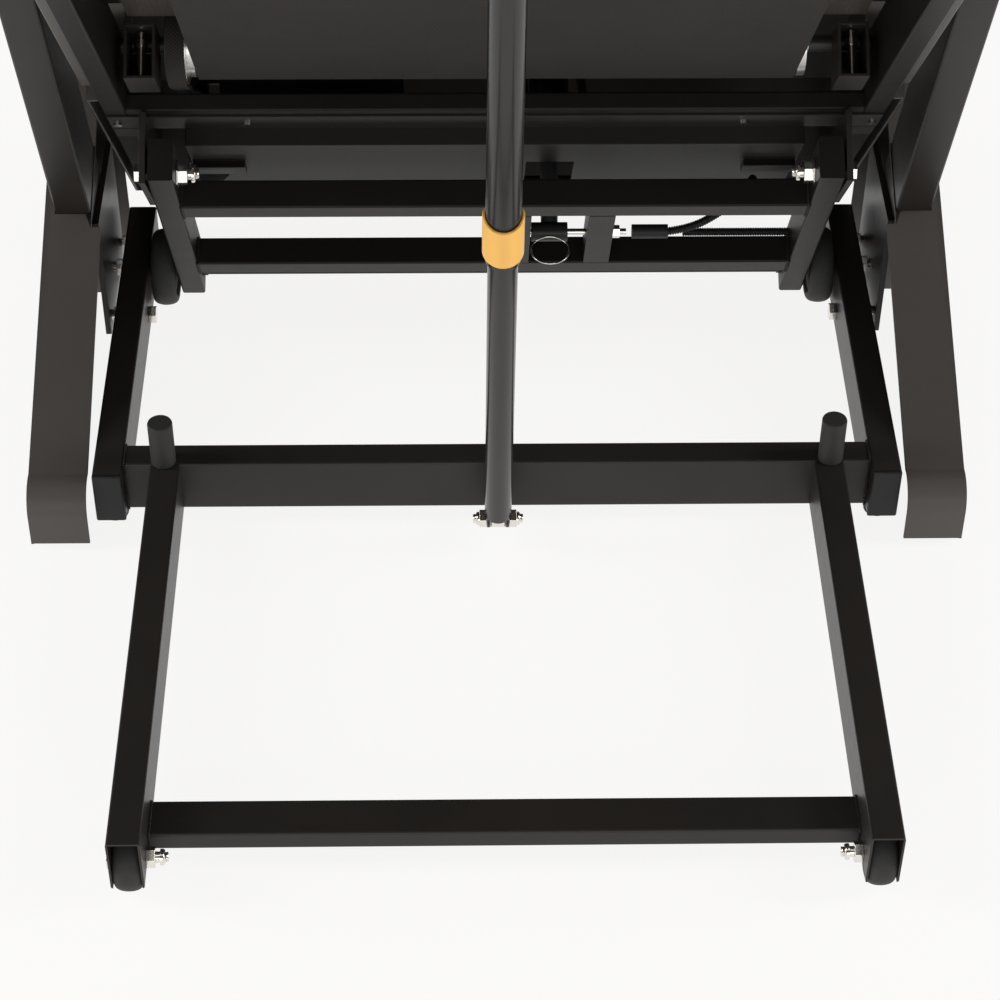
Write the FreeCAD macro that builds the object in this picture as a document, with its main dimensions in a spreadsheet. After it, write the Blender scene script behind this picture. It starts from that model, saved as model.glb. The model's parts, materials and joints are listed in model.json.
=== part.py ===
"""Folding treadmill with a gas spring and a lift frame, standing folded.

World axes: +X to the user's right, +Y to the front of the machine, +Z up.  Each tilted group is
drawn in a frame of its own: local x is world X, local z runs along the group and local y is the
side of the walking surface.
"""
import FreeCAD, Part
import math
import os
import Sketcher

Vector = FreeCAD.Vector
Rotation = FreeCAD.Rotation
Placement = FreeCAD.Placement

SIZES = """
origin_back 279.96 rear end of the runners to the origin
floor_gap 20 floor to the underside of the base tubes
tube_wide 30 base tube width
tube_high 60 base tube height
tube_wall 2 wall of every tube
tube_corner 2.5 outside corner radius of a tube
runner_length 489 runner from its rear end to the middle tube
runner_inner 318 middle plane to a runner's inner face
side_inner 375 middle plane to a side tube's inner face
side_back 474 side tube's rear end
side_front 915 side tube's front end
flat_wide 40 flat cross tube width
flat_high 20 flat cross tube height
rear_tube_back 44 rear cross tube's rear face
front_tube_back 870 front cross tube's rear face
peg_diameter 25 rubber peg
peg_height 52.5 rubber peg
peg_place 334.5 middle plane to a peg
peg_back 493 peg's axis
cap_thick 4 plug in a tube's end
wheel_radius 30 rear wheel
wheel_width 25 rear wheel
wheel_back 27 rear wheel's axle
wheel_drop 10 rear wheel's axle above the tube's underside
front_wheel_radius 42 front wheel
front_wheel_width 26 front wheel
axle_diameter 10 wheel and spring bolts
pivot_diameter 12 lift frame bolts
running_gap 0.05 radial clearance of a turning fit
side_gap 0.5 clearance between flat faces that pass each other
pivot_back 832 fold axis
pivot_up 42 fold axis above the tubes' underside
fold_angle 131 folded deck, from +Y
lift_angle 123 lift frame, from +Y
spring_angle 103.5 gas spring, from +Y
upright_angle 113.6 upright, from +Y
arm_inner 318 middle plane to a lift arm's inner face
arm_wide 25 lift arm width
arm_deep 44 lift arm depth
arm_tail 25 arm below the fold axis
arm_reach 322 arm above the fold axis
deck_pivot 283 fold axis to the deck's bolt on the arm
bar_size 30 lift frame cross bars, square
lower_bar 42 lower bar's start along the arm
upper_bar 215 upper bar's start along the arm
post_wide 27 short post between the bars
post_one 10 first post's left face
post_two 96 second post's left face
clevis_reach 128 clevis pin along the arm
clevis_drop -7 clevis pin off the arm's middle
clevis_diameter 6.6 clevis pin
rail_inner 366 middle plane to a deck rail's inner face
rail_wide 23 deck rail width
rail_high 70 deck rail height
rail_low 96.6 fold axis to the rails' underside
rail_front -20 rails' front end
rail_back 1945 rails' rear end
cross_high 18.4 deck cross tube height
cross_wide 30 deck cross tube width
cross_front 276 front deck cross tube
cross_spring 925 deck cross tube over the gas spring
cross_back 1800 rear deck cross tube
belt_half 290 half the running belt's width
belt_thick 2.2 running belt
roller_radius 31 front and rear roller
roller_half 300 half the roller's length
roller_front 350 front roller's axis
roller_back 1880 rear roller's axis
belt_lift 21.4 rails' underside to the belt's return run
board_thick 20 running board
board_half 352 half the running board's width
pulley_radius 38 pulley on the front roller
pulley_width 20 pulley on the front roller
motor_radius 48 drive motor
motor_length 190 drive motor
motor_reach 150 drive motor's axis along the deck
motor_lift 172 drive motor's axis above the fold axis
flange_thick 2.6 sheet flange under the deck
flange_wide 44 sheet flange
pan_half 314 half the motor pan's width
pan_deep 18 motor pan below the flange
pan_front 15 motor pan's front end
pan_wall 3 motor pan
plate_thick 6 hinge plate
plate_inner 346 middle plane to a hinge plate
plate_low 22 hinge plate's lower edge
plate_reach 100 hinge plate along the deck
hood_half 402 half the motor hood's width
hood_wall 3 motor hood
hood_top 318 motor hood's top above the fold axis
hood_front -70 motor hood's front end
hood_back 330 motor hood's rear end
foot_rail_top 198 foot rail's top above the fold axis
foot_rail_low 112 foot rail's skirt above the fold axis
foot_rail_outer 405 middle plane to the foot rail's outer face
foot_rail_inner 304 middle plane to the foot rail's inner edge
foot_rail_front 345 foot rail's front end
foot_rail_back 1895 foot rail's rear end
leg_long 62 rear leg along the deck
bracket_wide 30 cushion bracket
bracket_high 54 cushion bracket
bracket_long 52 cushion bracket
bracket_back 400 cushion bracket's open face
spring_back 452 gas spring's lower pivot
spring_up 18 gas spring's lower pivot above the tubes' underside
spring_length 799 gas spring between its pivots
spring_inner 13.5 gas spring's lower tube radius
spring_outer 15.6 gas spring's upper tube radius
spring_lower_end 492 end of the gas spring's lower tube
spring_upper_start 416 start of the gas spring's upper tube
collar_radius 18.4 latch collar
collar_length 52 latch collar
collar_start 424 latch collar along the gas spring
lug_wall 3 each plate of the gas spring's lug
lug_round 9 rounded end of the lug round its pin
lug_gap 16 clear width between the lug's plates
foot_radius 8.5 eye at the gas spring's lower end
foot_width 15 eye at the gas spring's lower end
foot_neck 11 tube's end above the lower pin
rib_middle 285 raised ribs of the pan, out from the middle
rib_width 54 raised ribs of the pan
rib_long 30 raised ribs of the pan, along the deck
rib_high 8 raised ribs of the pan
trunnion_radius 6 actuator's upper pin
trunnion_reach 33 actuator's upper pin, each side of its axis
trunnion_gap 26 actuator's axis to its bracket plates
trunnion_round 13 bracket plates round the upper pin
gear_width 46 actuator's gear case
gear_high 60 actuator's gear case
gear_long 50 actuator's gear case
eye_radius 15 gas spring's upper eye
ear_gap 20 middle plane to a deck ear
ear_thick 6 deck ear
upright_inner 422 middle plane to an upright's inner face
upright_wide 37 upright width
upright_deep 80 upright depth
upright_length 1370 upright
upright_foot_back 827.6 upright's rear face at its foot
upright_foot_up 10 upright's foot above the tubes' underside
upright_plate 6 upright plate
cover_inner 411 middle plane to a side cover's inner edge
cover_outer 470 middle plane to a side cover's outer face
cover_wall 3 side cover
rail_tube 32 handrail tube
rail_tube_reach 430 handrail's reach towards the user
rail_tube_up 940 handrail above the upright's foot
grip_radius 20 handrail grip
console_half 330 half the console's width
console_deep 300 console
console_front 150 console's front edge beyond the beam
console_thick 64 console
console_wall 3 console
console_drop 30 console's seat below the uprights' tops
face_tilt 38 console's face, from level
nut_high 8 nuts and bolt heads
nut_wide 17 nuts of the wheel and frame bolts, across their flats
inlet_wide 50 power inlet
inlet_high 32 power inlet
inlet_side -315 power inlet's middle
ring_radius 20 pull ring
button_radius 14 console buttons
button_travel 2 console buttons
actuator_side 58 lift actuator's middle
actuator_reach 150 actuator's mount along the deck
actuator_lift 205 actuator's mount above the fold axis
actuator_radius 21 actuator's body
actuator_rod 9 actuator's rod radius
actuator_bore_gap 1.8 clearance round the clevis pin
"""

doc = FreeCAD.newDocument("treadmill")
sheet = doc.addObject("Spreadsheet::Sheet", "sizes")
for line_number, line in enumerate(SIZES.strip().splitlines(), start=1):
    alias, number, note = line.split(" ", 2)
    sheet.set(f"A{line_number}", note)
    sheet.set(f"B{line_number}", number)
    sheet.setAlias(f"B{line_number}", alias)
doc.recompute()


def size(alias):
    """The number in one cell of the sheet."""
    return float(sheet.get(alias))


def cell(alias):
    """The expression that reads one cell."""
    return f"sizes.{alias}"


def base_place(x, y, z):
    """A place given from the runners' rear end and the base tubes' underside."""
    return Placement(Vector(x, y - size("origin_back"), z + size("floor_gap")), Rotation())


def frame_at(y, z, angle):
    """A tilted frame at a base place: local z lies at the angle from +Y."""
    return base_place(0, y, z) * Placement(Vector(), Rotation(Vector(1, 0, 0), angle - 90))


FOLD = (size("pivot_back"), size("pivot_up"))
DECK = frame_at(*FOLD, size("fold_angle"))
LIFT = frame_at(*FOLD, size("lift_angle"))
SPRING = frame_at(size("spring_back"), size("spring_up"), size("spring_angle"))
UPRIGHT = frame_at(size("upright_foot_back"), size("upright_foot_up"), size("upright_angle"))
BASE = base_place(0, 0, 0)
ALONG_X = Placement(Vector(), Rotation(Vector(0, 1, 0), 90))
ALONG_Y = Placement(Vector(), Rotation(Vector(1, 0, 0), -90))
SIDES = (("left", -1), ("right", 1))


def at(x, y, z):
    """A plain shift."""
    return Placement(Vector(x, y, z), Rotation())


parts = []


def keep(item, label, place):
    """Label a sub-part, put it in its place and list it for export."""
    item.Label = label
    item.Placement = place
    parts.append(item)
    return item


# ---------------------------------------------------------------- sketches and features

def new_body(name):
    """An empty body and its XY plane."""
    body = doc.addObject("PartDesign::Body", name + "_body")
    plane = next(f for f in body.Origin.OriginFeatures if f.Role == "XY_Plane")
    return body, plane


def new_sketch(body, plane, name):
    """A sketch on the body's XY plane."""
    sketch = body.newObject("Sketcher::SketchObject", name)
    sketch.AttachmentSupport = [(plane, "")]
    sketch.MapMode = "FlatFace"
    return sketch


def draw_rectangle(sketch, width, height):
    """A rectangle about the origin, its width and height bound to two expressions."""
    corners = [Vector(-9, -8), Vector(9, -8), Vector(9, 8), Vector(-9, 8)]
    for k in range(4):
        sketch.addGeometry(Part.LineSegment(corners[k], corners[(k + 1) % 4]))
    for k in range(4):
        sketch.addConstraint(Sketcher.Constraint("Coincident", k, 2, (k + 1) % 4, 1))
        sketch.addConstraint(Sketcher.Constraint("Horizontal" if k % 2 == 0 else "Vertical", k))
    sketch.addConstraint(Sketcher.Constraint("Symmetric", 0, 1, 2, 1, -1, 1))
    across = sketch.addConstraint(Sketcher.Constraint("DistanceX", 0, 1, 0, 2, 18))
    sketch.setExpression(f"Constraints[{across}]", width)
    upward = sketch.addConstraint(Sketcher.Constraint("DistanceY", 1, 1, 1, 2, 16))
    sketch.setExpression(f"Constraints[{upward}]", height)


def draw_circle(sketch, diameter):
    """A circle about the origin, its diameter bound to an expression."""
    ring = sketch.addGeometry(Part.Circle(Vector(), Vector(0, 0, 1), 5))
    sketch.addConstraint(Sketcher.Constraint("Coincident", ring, 3, -1, 1))
    width = sketch.addConstraint(Sketcher.Constraint("Diameter", ring, 10))
    sketch.setExpression(f"Constraints[{width}]", diameter)


def box_tube(name, width, height, length):
    """A hollow rectangular tube along +Z with its section about the origin."""
    body, plane = new_body(name)
    outer = new_sketch(body, plane, name + "_outer")
    draw_rectangle(outer, width, height)
    pad = body.newObject("PartDesign::Pad", name + "_pad")
    pad.Profile = outer
    pad.setExpression("Length", length)
    doc.recompute()
    upright_edges = [f"Edge{k}" for k, edge in enumerate(pad.Shape.Edges, start=1)
                     if abs(edge.tangentAt(edge.FirstParameter).z) > 0.99]
    corners = body.newObject("PartDesign::Fillet", name + "_corners")
    corners.Base = (pad, upright_edges)
    corners.setExpression("Radius", cell("tube_corner"))
    doc.recompute()
    inner = new_sketch(body, plane, name + "_inner")
    draw_rectangle(inner, f"{width} - 2 * sizes.tube_wall", f"{height} - 2 * sizes.tube_wall")
    hollow = body.newObject("PartDesign::Pocket", name + "_hollow")
    hollow.Profile = inner
    hollow.Type = "ThroughAll"
    hollow.Midplane = True
    body.Tip = hollow
    doc.recompute()
    return body


def round_bar(name, diameter, length, bore=None):
    """A round bar or ring along +Z, bored through when a bore is given."""
    body, plane = new_body(name)
    outer = new_sketch(body, plane, name + "_outer")
    draw_circle(outer, diameter)
    pad = body.newObject("PartDesign::Pad", name + "_pad")
    pad.Profile = outer
    pad.setExpression("Length", length)
    if bore:
        inner = new_sketch(body, plane, name + "_inner")
        draw_circle(inner, bore)
        hollow = body.newObject("PartDesign::Pocket", name + "_hollow")
        hollow.Profile = inner
        hollow.Type = "ThroughAll"
        hollow.Midplane = True
        body.Tip = hollow
    doc.recompute()
    return body


def block(name, length, width, height, place):
    """A Part::Box with three bound sizes."""
    item = doc.addObject("Part::Box", name)
    item.setExpression("Length", length)
    item.setExpression("Width", width)
    item.setExpression("Height", height)
    item.Placement = place
    return item


def rod(name, radius, length, place):
    """A Part::Cylinder with bound sizes."""
    item = doc.addObject("Part::Cylinder", name)
    item.setExpression("Radius", radius)
    item.setExpression("Height", length)
    item.Placement = place
    return item


def cut(name, base, *tools):
    """Cut each tool from the base."""
    for k, tool in enumerate(tools):
        step = doc.addObject("Part::Cut", f"{name}_cut{k}")
        step.Base = base
        step.Tool = tool
        base = step
    return base


def fuse(name, *items):
    """One solid from several."""
    whole = doc.addObject("Part::MultiFuse", name + "_fuse")
    whole.Shapes = list(items)
    return whole


def group(name, *items):
    """Several separate solids in one sub-part."""
    whole = doc.addObject("Part::Compound", name + "_group")
    whole.Links = list(items)
    return whole


def hexagon(name, across, length, place):
    """A nut or bolt head, across its flats."""
    item = doc.addObject("Part::Prism", name)
    item.Polygon = 6
    item.Circumradius = across / math.sqrt(3)
    item.Height = length
    item.Placement = place
    return item


def shell_shape(outline, inner, width, wall):
    """A cover: an outline in the YZ plane made solid along +X and hollowed from the low-X side."""
    solid = Part.Face(outline).extrude(Vector(width, 0, 0))
    hollow = Part.Face(inner).extrude(Vector(width - wall, 0, 0))
    return solid.cut(hollow)


def rounded_path(points, radii):
    """Straight runs in one wire, joined by tangent arcs of the given radii."""
    edges = []
    start = points[0]
    for k in range(1, len(points) - 1):
        corner, ahead, back = points[k], points[k + 1] - points[k], points[k - 1] - points[k]
        ahead.normalize()
        back.normalize()
        half = back.getAngle(ahead) / 2
        trim = radii[k - 1] / math.tan(half)
        middle = back + ahead
        middle.normalize()
        centre = corner + middle * (radii[k - 1] / math.sin(half))
        first, last = corner + back * trim, corner + ahead * trim
        inward = corner - centre
        inward.normalize()
        edges.append(Part.LineSegment(start, first).toShape())
        edges.append(Part.Arc(first, centre + inward * radii[k - 1], last).toShape())
        start = last
    edges.append(Part.LineSegment(start, points[-1]).toShape())
    return Part.Wire(edges)


def swept_tube(path, start, direction, radius, bore=0):
    """A round tube along a path."""
    def sweep(size_now):
        ring = Part.Wire(Part.Circle(start, direction, size_now).toShape())
        return path.makePipeShell([ring], True, False)
    solid = sweep(radius)
    return solid.cut(sweep(bore)) if bore else solid


def feature(label, shape, place):
    """A Part::Feature with a shape of its own."""
    item = doc.addObject("Part::Feature", label + "_shape")
    item.Shape = shape
    return keep(item, label, place * item.Placement)


def mirror_x(shape, side):
    """The shape itself on the right, its mirror image on the left."""
    return shape if side > 0 else shape.mirror(Vector(), Vector(1, 0, 0))


# ---------------------------------------------------------------- base frame

def make_runners():
    """The two long tubes to the rear wheels, open below at their rear ends."""
    for name, side in SIDES:
        tube = box_tube("runner_" + name, cell("tube_wide"), cell("tube_high"), cell("runner_length"))
        middle = side * (size("runner_inner") + size("tube_wide") / 2)
        tube.Placement = base_place(middle, 0, size("tube_high") / 2) * ALONG_Y
        opening = block("wheel_opening_" + name, "sizes.tube_wide - 2 * sizes.tube_wall",
                        "sizes.wheel_back + sizes.wheel_radius + 4", "4 * sizes.tube_wall",
                        base_place(middle - size("tube_wide") / 2 + size("tube_wall"), -1,
                                   -2 * size("tube_wall")))
        hole = rod("axle_hole_" + name, "sizes.axle_diameter / 2 + sizes.running_gap",
                   "sizes.tube_wide + 8",
                   base_place(middle - size("tube_wide") / 2 - 4, size("wheel_back"), size("wheel_drop")) * ALONG_X)
        keep(cut("runner_" + name, tube, opening, hole), "runner_" + name, Placement())


def make_side_tubes():
    """The two outer tubes that carry the uprights and the fold axis."""
    for name, side in SIDES:
        tube = box_tube("side_tube_" + name, cell("tube_wide"), cell("tube_high"),
                        "sizes.side_front - sizes.side_back")
        middle = side * (size("side_inner") + size("tube_wide") / 2)
        tube.Placement = base_place(middle, size("side_back"), size("tube_high") / 2) * ALONG_Y
        start = middle - size("tube_wide") / 2 - 4
        holes = [rod(f"side_hole_{name}_{k}", "sizes.pivot_diameter / 2 + sizes.running_gap",
                     "sizes.tube_wide + 8", base_place(start, y, z) * ALONG_X)
                 for k, (y, z) in enumerate(side_bolt_places())]
        keep(cut("side_tube_" + name, tube, *holes), "side_tube_" + name, Placement())


def side_bolt_places():
    """The fold axis and the two bolts that hold an upright's plate, as (y, z)."""
    return (FOLD, (FOLD[0] + 55, 32), (FOLD[0] - 56, 20))


def cross_tube(label, width, height, half, y_middle, z_middle):
    """A base tube across the machine between two faces."""
    tube = box_tube(label, height, width, f"2 * {half}")
    keep(tube, label, base_place(-tube.Tip.Shape.BoundBox.ZMax / 2, y_middle, z_middle) * ALONG_X)


def make_cross_tubes():
    """Middle tube between the side tubes, rear tube between the runners, front tube."""
    cross_tube("middle_tube", cell("tube_wide"), cell("tube_high"), cell("side_inner"),
               size("runner_length") + size("tube_wide") / 2, size("tube_high") / 2)
    cross_tube("rear_tube", cell("flat_wide"), cell("flat_high"), cell("runner_inner"),
               size("rear_tube_back") + size("flat_wide") / 2, size("flat_high") / 2)
    cross_tube("front_tube", cell("flat_wide"), cell("flat_high"), cell("side_inner"),
               size("front_tube_back") + size("flat_wide") / 2, size("flat_high") / 2)


def make_tube_caps():
    """Plugs on the side tubes' ends and on the uprights' tops."""
    caps = []
    lip = size("cap_thick")
    for name, side in SIDES:
        middle = side * (size("side_inner") + size("tube_wide") / 2)
        for end, y in (("back", size("side_back") - lip), ("front", size("side_front"))):
            plug = block(f"plug_{name}_{end}", cell("tube_wide"), cell("cap_thick"), cell("tube_high"),
                         base_place(middle - size("tube_wide") / 2, y, 0))
            soft = doc.addObject("Part::Fillet", f"cap_{name}_{end}")
            soft.Base = plug
            doc.recompute()
            outer_y = plug.Shape.BoundBox.YMin if end == "back" else plug.Shape.BoundBox.YMax
            rim = [(k, 2.5, 2.5) for k, edge in enumerate(plug.Shape.Edges, start=1)
                   if abs(edge.CenterOfMass.y - outer_y) < 0.01]
            soft.Edges = rim
            caps.append(soft)
        edge = side * size("upright_inner") - (size("upright_wide") if side < 0 else 0)
        caps.append(block("upright_cap_" + name, cell("upright_wide"), cell("upright_deep"), cell("cap_thick"),
                          UPRIGHT * at(edge, 0, size("upright_length"))))
    keep(group("tube_caps", *caps), "tube_caps", Placement())


def make_pegs():
    """Rubber pegs beside the lowered lift arms."""
    pegs = []
    for name, side in SIDES:
        peg = round_bar("peg_" + name, cell("peg_diameter"), cell("peg_height"))
        peg.Placement = base_place(side * size("peg_place"), size("peg_back"), size("tube_high"))
        pegs.append(peg)
    return pegs


def make_rubber_buffers():
    """The pegs, and rubber feet below the ends of the side tubes."""
    feet = make_pegs()
    for name, side in SIDES:
        for k, y in enumerate((size("side_front") - 26, size("side_back") + 30)):
            middle = side * (size("side_inner") + size("tube_wide") / 2)
            foot = round_bar(f"foot_{name}_{k}", "sizes.tube_wide - 4", cell("floor_gap"))
            foot.Placement = base_place(middle, y, -size("floor_gap"))
            feet.append(foot)
    keep(group("rubber_buffers", *feet), "rubber_buffers", Placement())


def wheel(label, radius, width, place):
    """A bored wheel with a rounded tread, turned about its axle."""
    body, plane = new_body(label)
    sketch = new_sketch(body, plane, label + "_section")
    half, outer, bore = size(width) / 2, size(radius), bore_radius(label)
    crown = 0.22 * size(width)
    corners = [Vector(bore, -half), Vector(outer - crown, -half), Vector(outer - crown, half), Vector(bore, half)]
    sketch.addGeometry(Part.LineSegment(corners[0], corners[1]))
    sketch.addGeometry(Part.Arc(corners[1], Vector(outer, 0), corners[2]))
    sketch.addGeometry(Part.LineSegment(corners[2], corners[3]))
    sketch.addGeometry(Part.LineSegment(corners[3], corners[0]))
    for k, ends in enumerate(((2, 1, 1), (1, 2, 2), (2, 1, 3), (2, 1, 0))):
        first_end, second_end, second = ends
        if k != 1:
            sketch.addConstraint(Sketcher.Constraint("Coincident", k, first_end, second, second_end))
    turned = body.newObject("PartDesign::Revolution", label + "_turned")
    turned.Profile = sketch
    turned.ReferenceAxis = (sketch, ["V_Axis"])
    turned.Angle = 360
    body.Tip = turned
    doc.recompute()
    keep(body, label, place * Placement(Vector(), Rotation(Vector(0, 0, 1), -90)))


def bore_radius(label):
    """The bore of a wheel: its bolt and a running gap."""
    bolt = size("axle_diameter") if label.startswith("rear") else size("pivot_diameter")
    return bolt / 2 + size("running_gap")


def make_wheels():
    """Rear wheels in the runners' ends, front wheels on the fold axis."""
    for name, side in SIDES:
        rear = side * (size("runner_inner") + size("tube_wide") / 2)
        wheel("rear_wheel_" + name, "wheel_radius", "wheel_width",
              base_place(rear, size("wheel_back"), size("wheel_drop")))
        front = side * (size("arm_inner") + size("arm_wide") + size("side_inner")) / 2
        wheel("front_wheel_" + name, "front_wheel_radius", "front_wheel_width",
              base_place(front, *FOLD))


def bolt(name, diameter, side, shank, nuts, y, z, place=BASE):
    """A bolt along X at one side: its shank and each nut or head run from one x to another."""
    def lowest(run):
        return min(side * run[0], side * run[1])
    pieces = [rod(name + "_shank", str(diameter / 2), str(shank[1] - shank[0]),
                  place * at(lowest(shank), y, z) * ALONG_X)]
    for k, (first, last, across) in enumerate(nuts):
        pieces.append(hexagon(f"{name}_nut{k}", across, last - first,
                              place * at(lowest((first, last)), y, z) * ALONG_X))
    return fuse(name, *pieces)


def make_base_bolts():
    """Bolts of the rear wheels, of the fold axis and through the upright plates."""
    bolts = []
    nut, across = size("nut_high"), size("nut_wide")
    inner, outer = size("runner_inner"), size("runner_inner") + size("tube_wide")
    side_outer = size("side_inner") + size("tube_wide")
    far = size("upright_inner") - size("side_gap")
    for name, side in SIDES:
        bolts.append(bolt("rear_axle_" + name, size("axle_diameter"), side, (inner - nut - 5, outer),
                          [(inner - nut, inner, across), (outer, outer + 5, across)],
                          size("wheel_back"), size("wheel_drop")))
        for k, (y, z) in enumerate(side_bolt_places()):
            start = size("arm_inner") + size("arm_wide") + 1.5 if k == 0 else size("side_inner") - nut
            nuts = [(side_outer, side_outer + nut, across)]
            if k > 0:
                nuts.append((size("side_inner") - nut, size("side_inner"), across))
            bolts.append(bolt(f"side_bolt_{name}_{k}", size("pivot_diameter"), side, (start, far), nuts, y, z))
    keep(group("base_bolts", *bolts), "base_bolts", Placement())


def make_spring_lug():
    """The forked lug welded to the middle tube, and the bolt through the gas spring's foot."""
    back, up = size("spring_back"), size("spring_up")
    outer = size("lug_gap") / 2 + size("lug_wall")
    pieces = [block("lug_web", "sizes.lug_gap + 2 * sizes.lug_wall", cell("lug_wall"), "2 * sizes.lug_round",
                    base_place(-outer, size("runner_length") - size("lug_wall"), up - size("lug_round")))]
    for name, side in SIDES:
        start = size("lug_gap") / 2 if side > 0 else -outer
        pieces.append(block("lug_plate_" + name, cell("lug_wall"), "sizes.runner_length - sizes.spring_back",
                            "2 * sizes.lug_round", base_place(start, back, up - size("lug_round"))))
        pieces.append(rod("lug_end_" + name, cell("lug_round"), cell("lug_wall"),
                          base_place(start, back, up) * ALONG_X))
    hole = rod("lug_hole", "sizes.axle_diameter / 2 + sizes.running_gap", "4 * sizes.lug_gap",
               base_place(-2 * size("lug_gap"), back, up) * ALONG_X)
    keep(cut("spring_lug", fuse("spring_lug", *pieces), hole), "spring_lug", Placement())
    reach = outer + size("side_gap")
    pin = rod("lug_pin", "sizes.axle_diameter / 2", str(2 * reach), base_place(-reach, back, up) * ALONG_X)
    nuts = [hexagon(f"lug_nut_{name}", 16, 7, base_place(reach if side > 0 else -reach - 7, back, up) * ALONG_X)
            for name, side in SIDES]
    keep(fuse("spring_lower_bolt", pin, *nuts), "spring_lower_bolt", Placement())


# ---------------------------------------------------------------- uprights, covers, console

def make_uprights():
    """Leaning uprights on plates that are bolted to the side tubes."""
    plates = []
    for name, side in SIDES:
        tube = box_tube("upright_" + name, cell("upright_wide"), cell("upright_deep"), cell("upright_length"))
        middle = side * (size("upright_inner") + size("upright_wide") / 2)
        keep(tube, "upright_" + name, UPRIGHT * at(middle, size("upright_deep") / 2, 0))
        start = size("upright_inner") - size("upright_plate")
        low = start if side > 0 else -size("upright_inner")
        plate = block("plate_" + name, cell("upright_plate"), "150", "150",
                      base_place(low, FOLD[0] - 70, 4))
        tools = [rod(f"plate_hole_{name}_{k}", "sizes.pivot_diameter / 2 + sizes.side_gap", "20",
                     base_place(low - 5, y, z) * ALONG_X) for k, (y, z) in enumerate(side_bolt_places())]
        plates.append(cut("upright_plate_" + name, plate, *tools))
    keep(group("upright_plates", *plates), "upright_plates", Placement())


def polygon(points):
    """A closed wire through (y, z) points in the YZ plane."""
    corners = [Vector(0, y, z) for y, z in points]
    return Part.makePolygon(corners + corners[:1])


def cover_outline(inset):
    """A side cover's outline from its rear tip over the sloping top to its front, moved inwards."""
    tip_y, tip_z = size("side_back") - 24 + inset, -size("floor_gap") + 8
    slope = math.radians(24)
    knee_y, knee_z = tip_y + 20, 44
    crest_y = size("upright_foot_back") + 75
    crest_z = knee_z + (crest_y - knee_y) * math.tan(slope)
    front_y = size("side_front") + 45 - inset
    shift = inset / math.cos(slope)
    start, low_knee = Vector(0, tip_y, tip_z), Vector(0, tip_y + 1, 20)
    top_start = Vector(0, knee_y + 16, knee_z + 16 * math.tan(slope) - shift)
    bend = Vector(0, tip_y + 9, knee_z - 2 - 0.6 * shift)
    crest = Vector(0, crest_y, crest_z - shift)
    front_top = Vector(0, front_y - 12, crest_z - 60 - shift)
    front_low = Vector(0, front_y, tip_z)
    crown = Vector(0, (crest_y + front_y) / 2 + 5, crest_z - 14 - shift)
    edges = [Part.LineSegment(start, low_knee).toShape(),
             Part.Arc(low_knee, bend, top_start).toShape(),
             Part.LineSegment(top_start, crest).toShape(),
             Part.Arc(crest, crown, front_top).toShape(),
             Part.LineSegment(front_top, front_low).toShape(),
             Part.LineSegment(front_low, start).toShape()]
    return Part.Wire(edges)


def make_side_covers():
    """Plastic covers over the uprights' feet, open below and towards the side tubes."""
    wall = size("cover_wall")
    width = size("cover_outer") - size("cover_inner")
    inner = cover_outline(wall)
    inner.translate(Vector(0, 0, -0.5))
    shell = shell_shape(cover_outline(0), inner, width, wall)
    below = Part.makeBox(width - wall, 900, 60, Vector(0, 0, -60 - size("floor_gap") + 8 + 0.5))
    shell = shell.cut(below)
    shell.translate(Vector(size("cover_inner"), 0, 0))
    shell.Placement = BASE * shell.Placement
    gap = size("side_gap")
    passage = Part.makeBox(size("upright_wide") + 2 * gap, size("upright_deep") + 2 * gap, 900,
                           Vector(size("upright_inner") - gap, -gap, -40))
    passage.Placement = UPRIGHT * passage.Placement
    shell = shell.cut(passage)
    slot = Part.makeBox(30, 190, 400, Vector(size("cover_inner") - 20 + 0.01, FOLD[0] - 90, -60))
    slot.Placement = BASE * slot.Placement
    shell = shell.cut(slot)
    for name, side in SIDES:
        feature("side_cover_" + name, mirror_x(max(shell.Solids, key=lambda s: s.Volume), side), Placement())


def make_handrails():
    """Handrails bent from the uprights towards the user, with foam grips."""
    rails, grips = [], []
    outer = size("upright_inner") + size("upright_wide")
    radius = size("rail_tube") / 2
    up = size("rail_tube_up")
    middle_x = outer + radius + 2
    for name, side in SIDES:
        low = Vector(side * middle_x, 20, up - 230)
        bend = Vector(side * middle_x, -70, up + 10)
        end = Vector(side * middle_x, -70 - size("rail_tube_reach"), up + 10 + size("rail_tube_reach") * 0.43)
        path = rounded_path([low, bend, end], [70])
        rail = doc.addObject("Part::Feature", "handrail_shape_" + name)
        rail.Shape = swept_tube(path, low, bend - low, radius, radius - size("tube_wall"))
        lug = Part.makeBox(radius + 3, 30, 60, Vector(side * outer if side > 0 else -outer - radius - 3, 5, up - 225))
        rail.Shape = rail.Shape.fuse(lug.cut(swept_tube(path, low, bend - low, radius - 0.5)))
        rail.Placement = UPRIGHT
        rails.append(rail)
        toward = end - bend
        toward.normalize()
        grip = doc.addObject("Part::Feature", "grip_shape_" + name)
        start = end - toward * 240
        sleeve = Part.makeCylinder(size("grip_radius"), 244, start, toward)
        bore = Part.makeCylinder(radius + 0.01, 240, start, toward)
        grip.Shape = sleeve.cut(bore)
        grip.Placement = UPRIGHT
        grips.append(grip)
    keep(group("handrails", *rails), "handrails", Placement())
    keep(group("handrail_grips", *grips), "handrail_grips", Placement())


def console_frame():
    """The console's frame: between the uprights near their tops, its face turned up to the user."""
    top = UPRIGHT * at(0, size("upright_deep") / 2, size("upright_length") - size("console_drop"))
    return Placement(top.Base, Rotation(Vector(1, 0, 0), size("face_tilt")))


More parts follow.
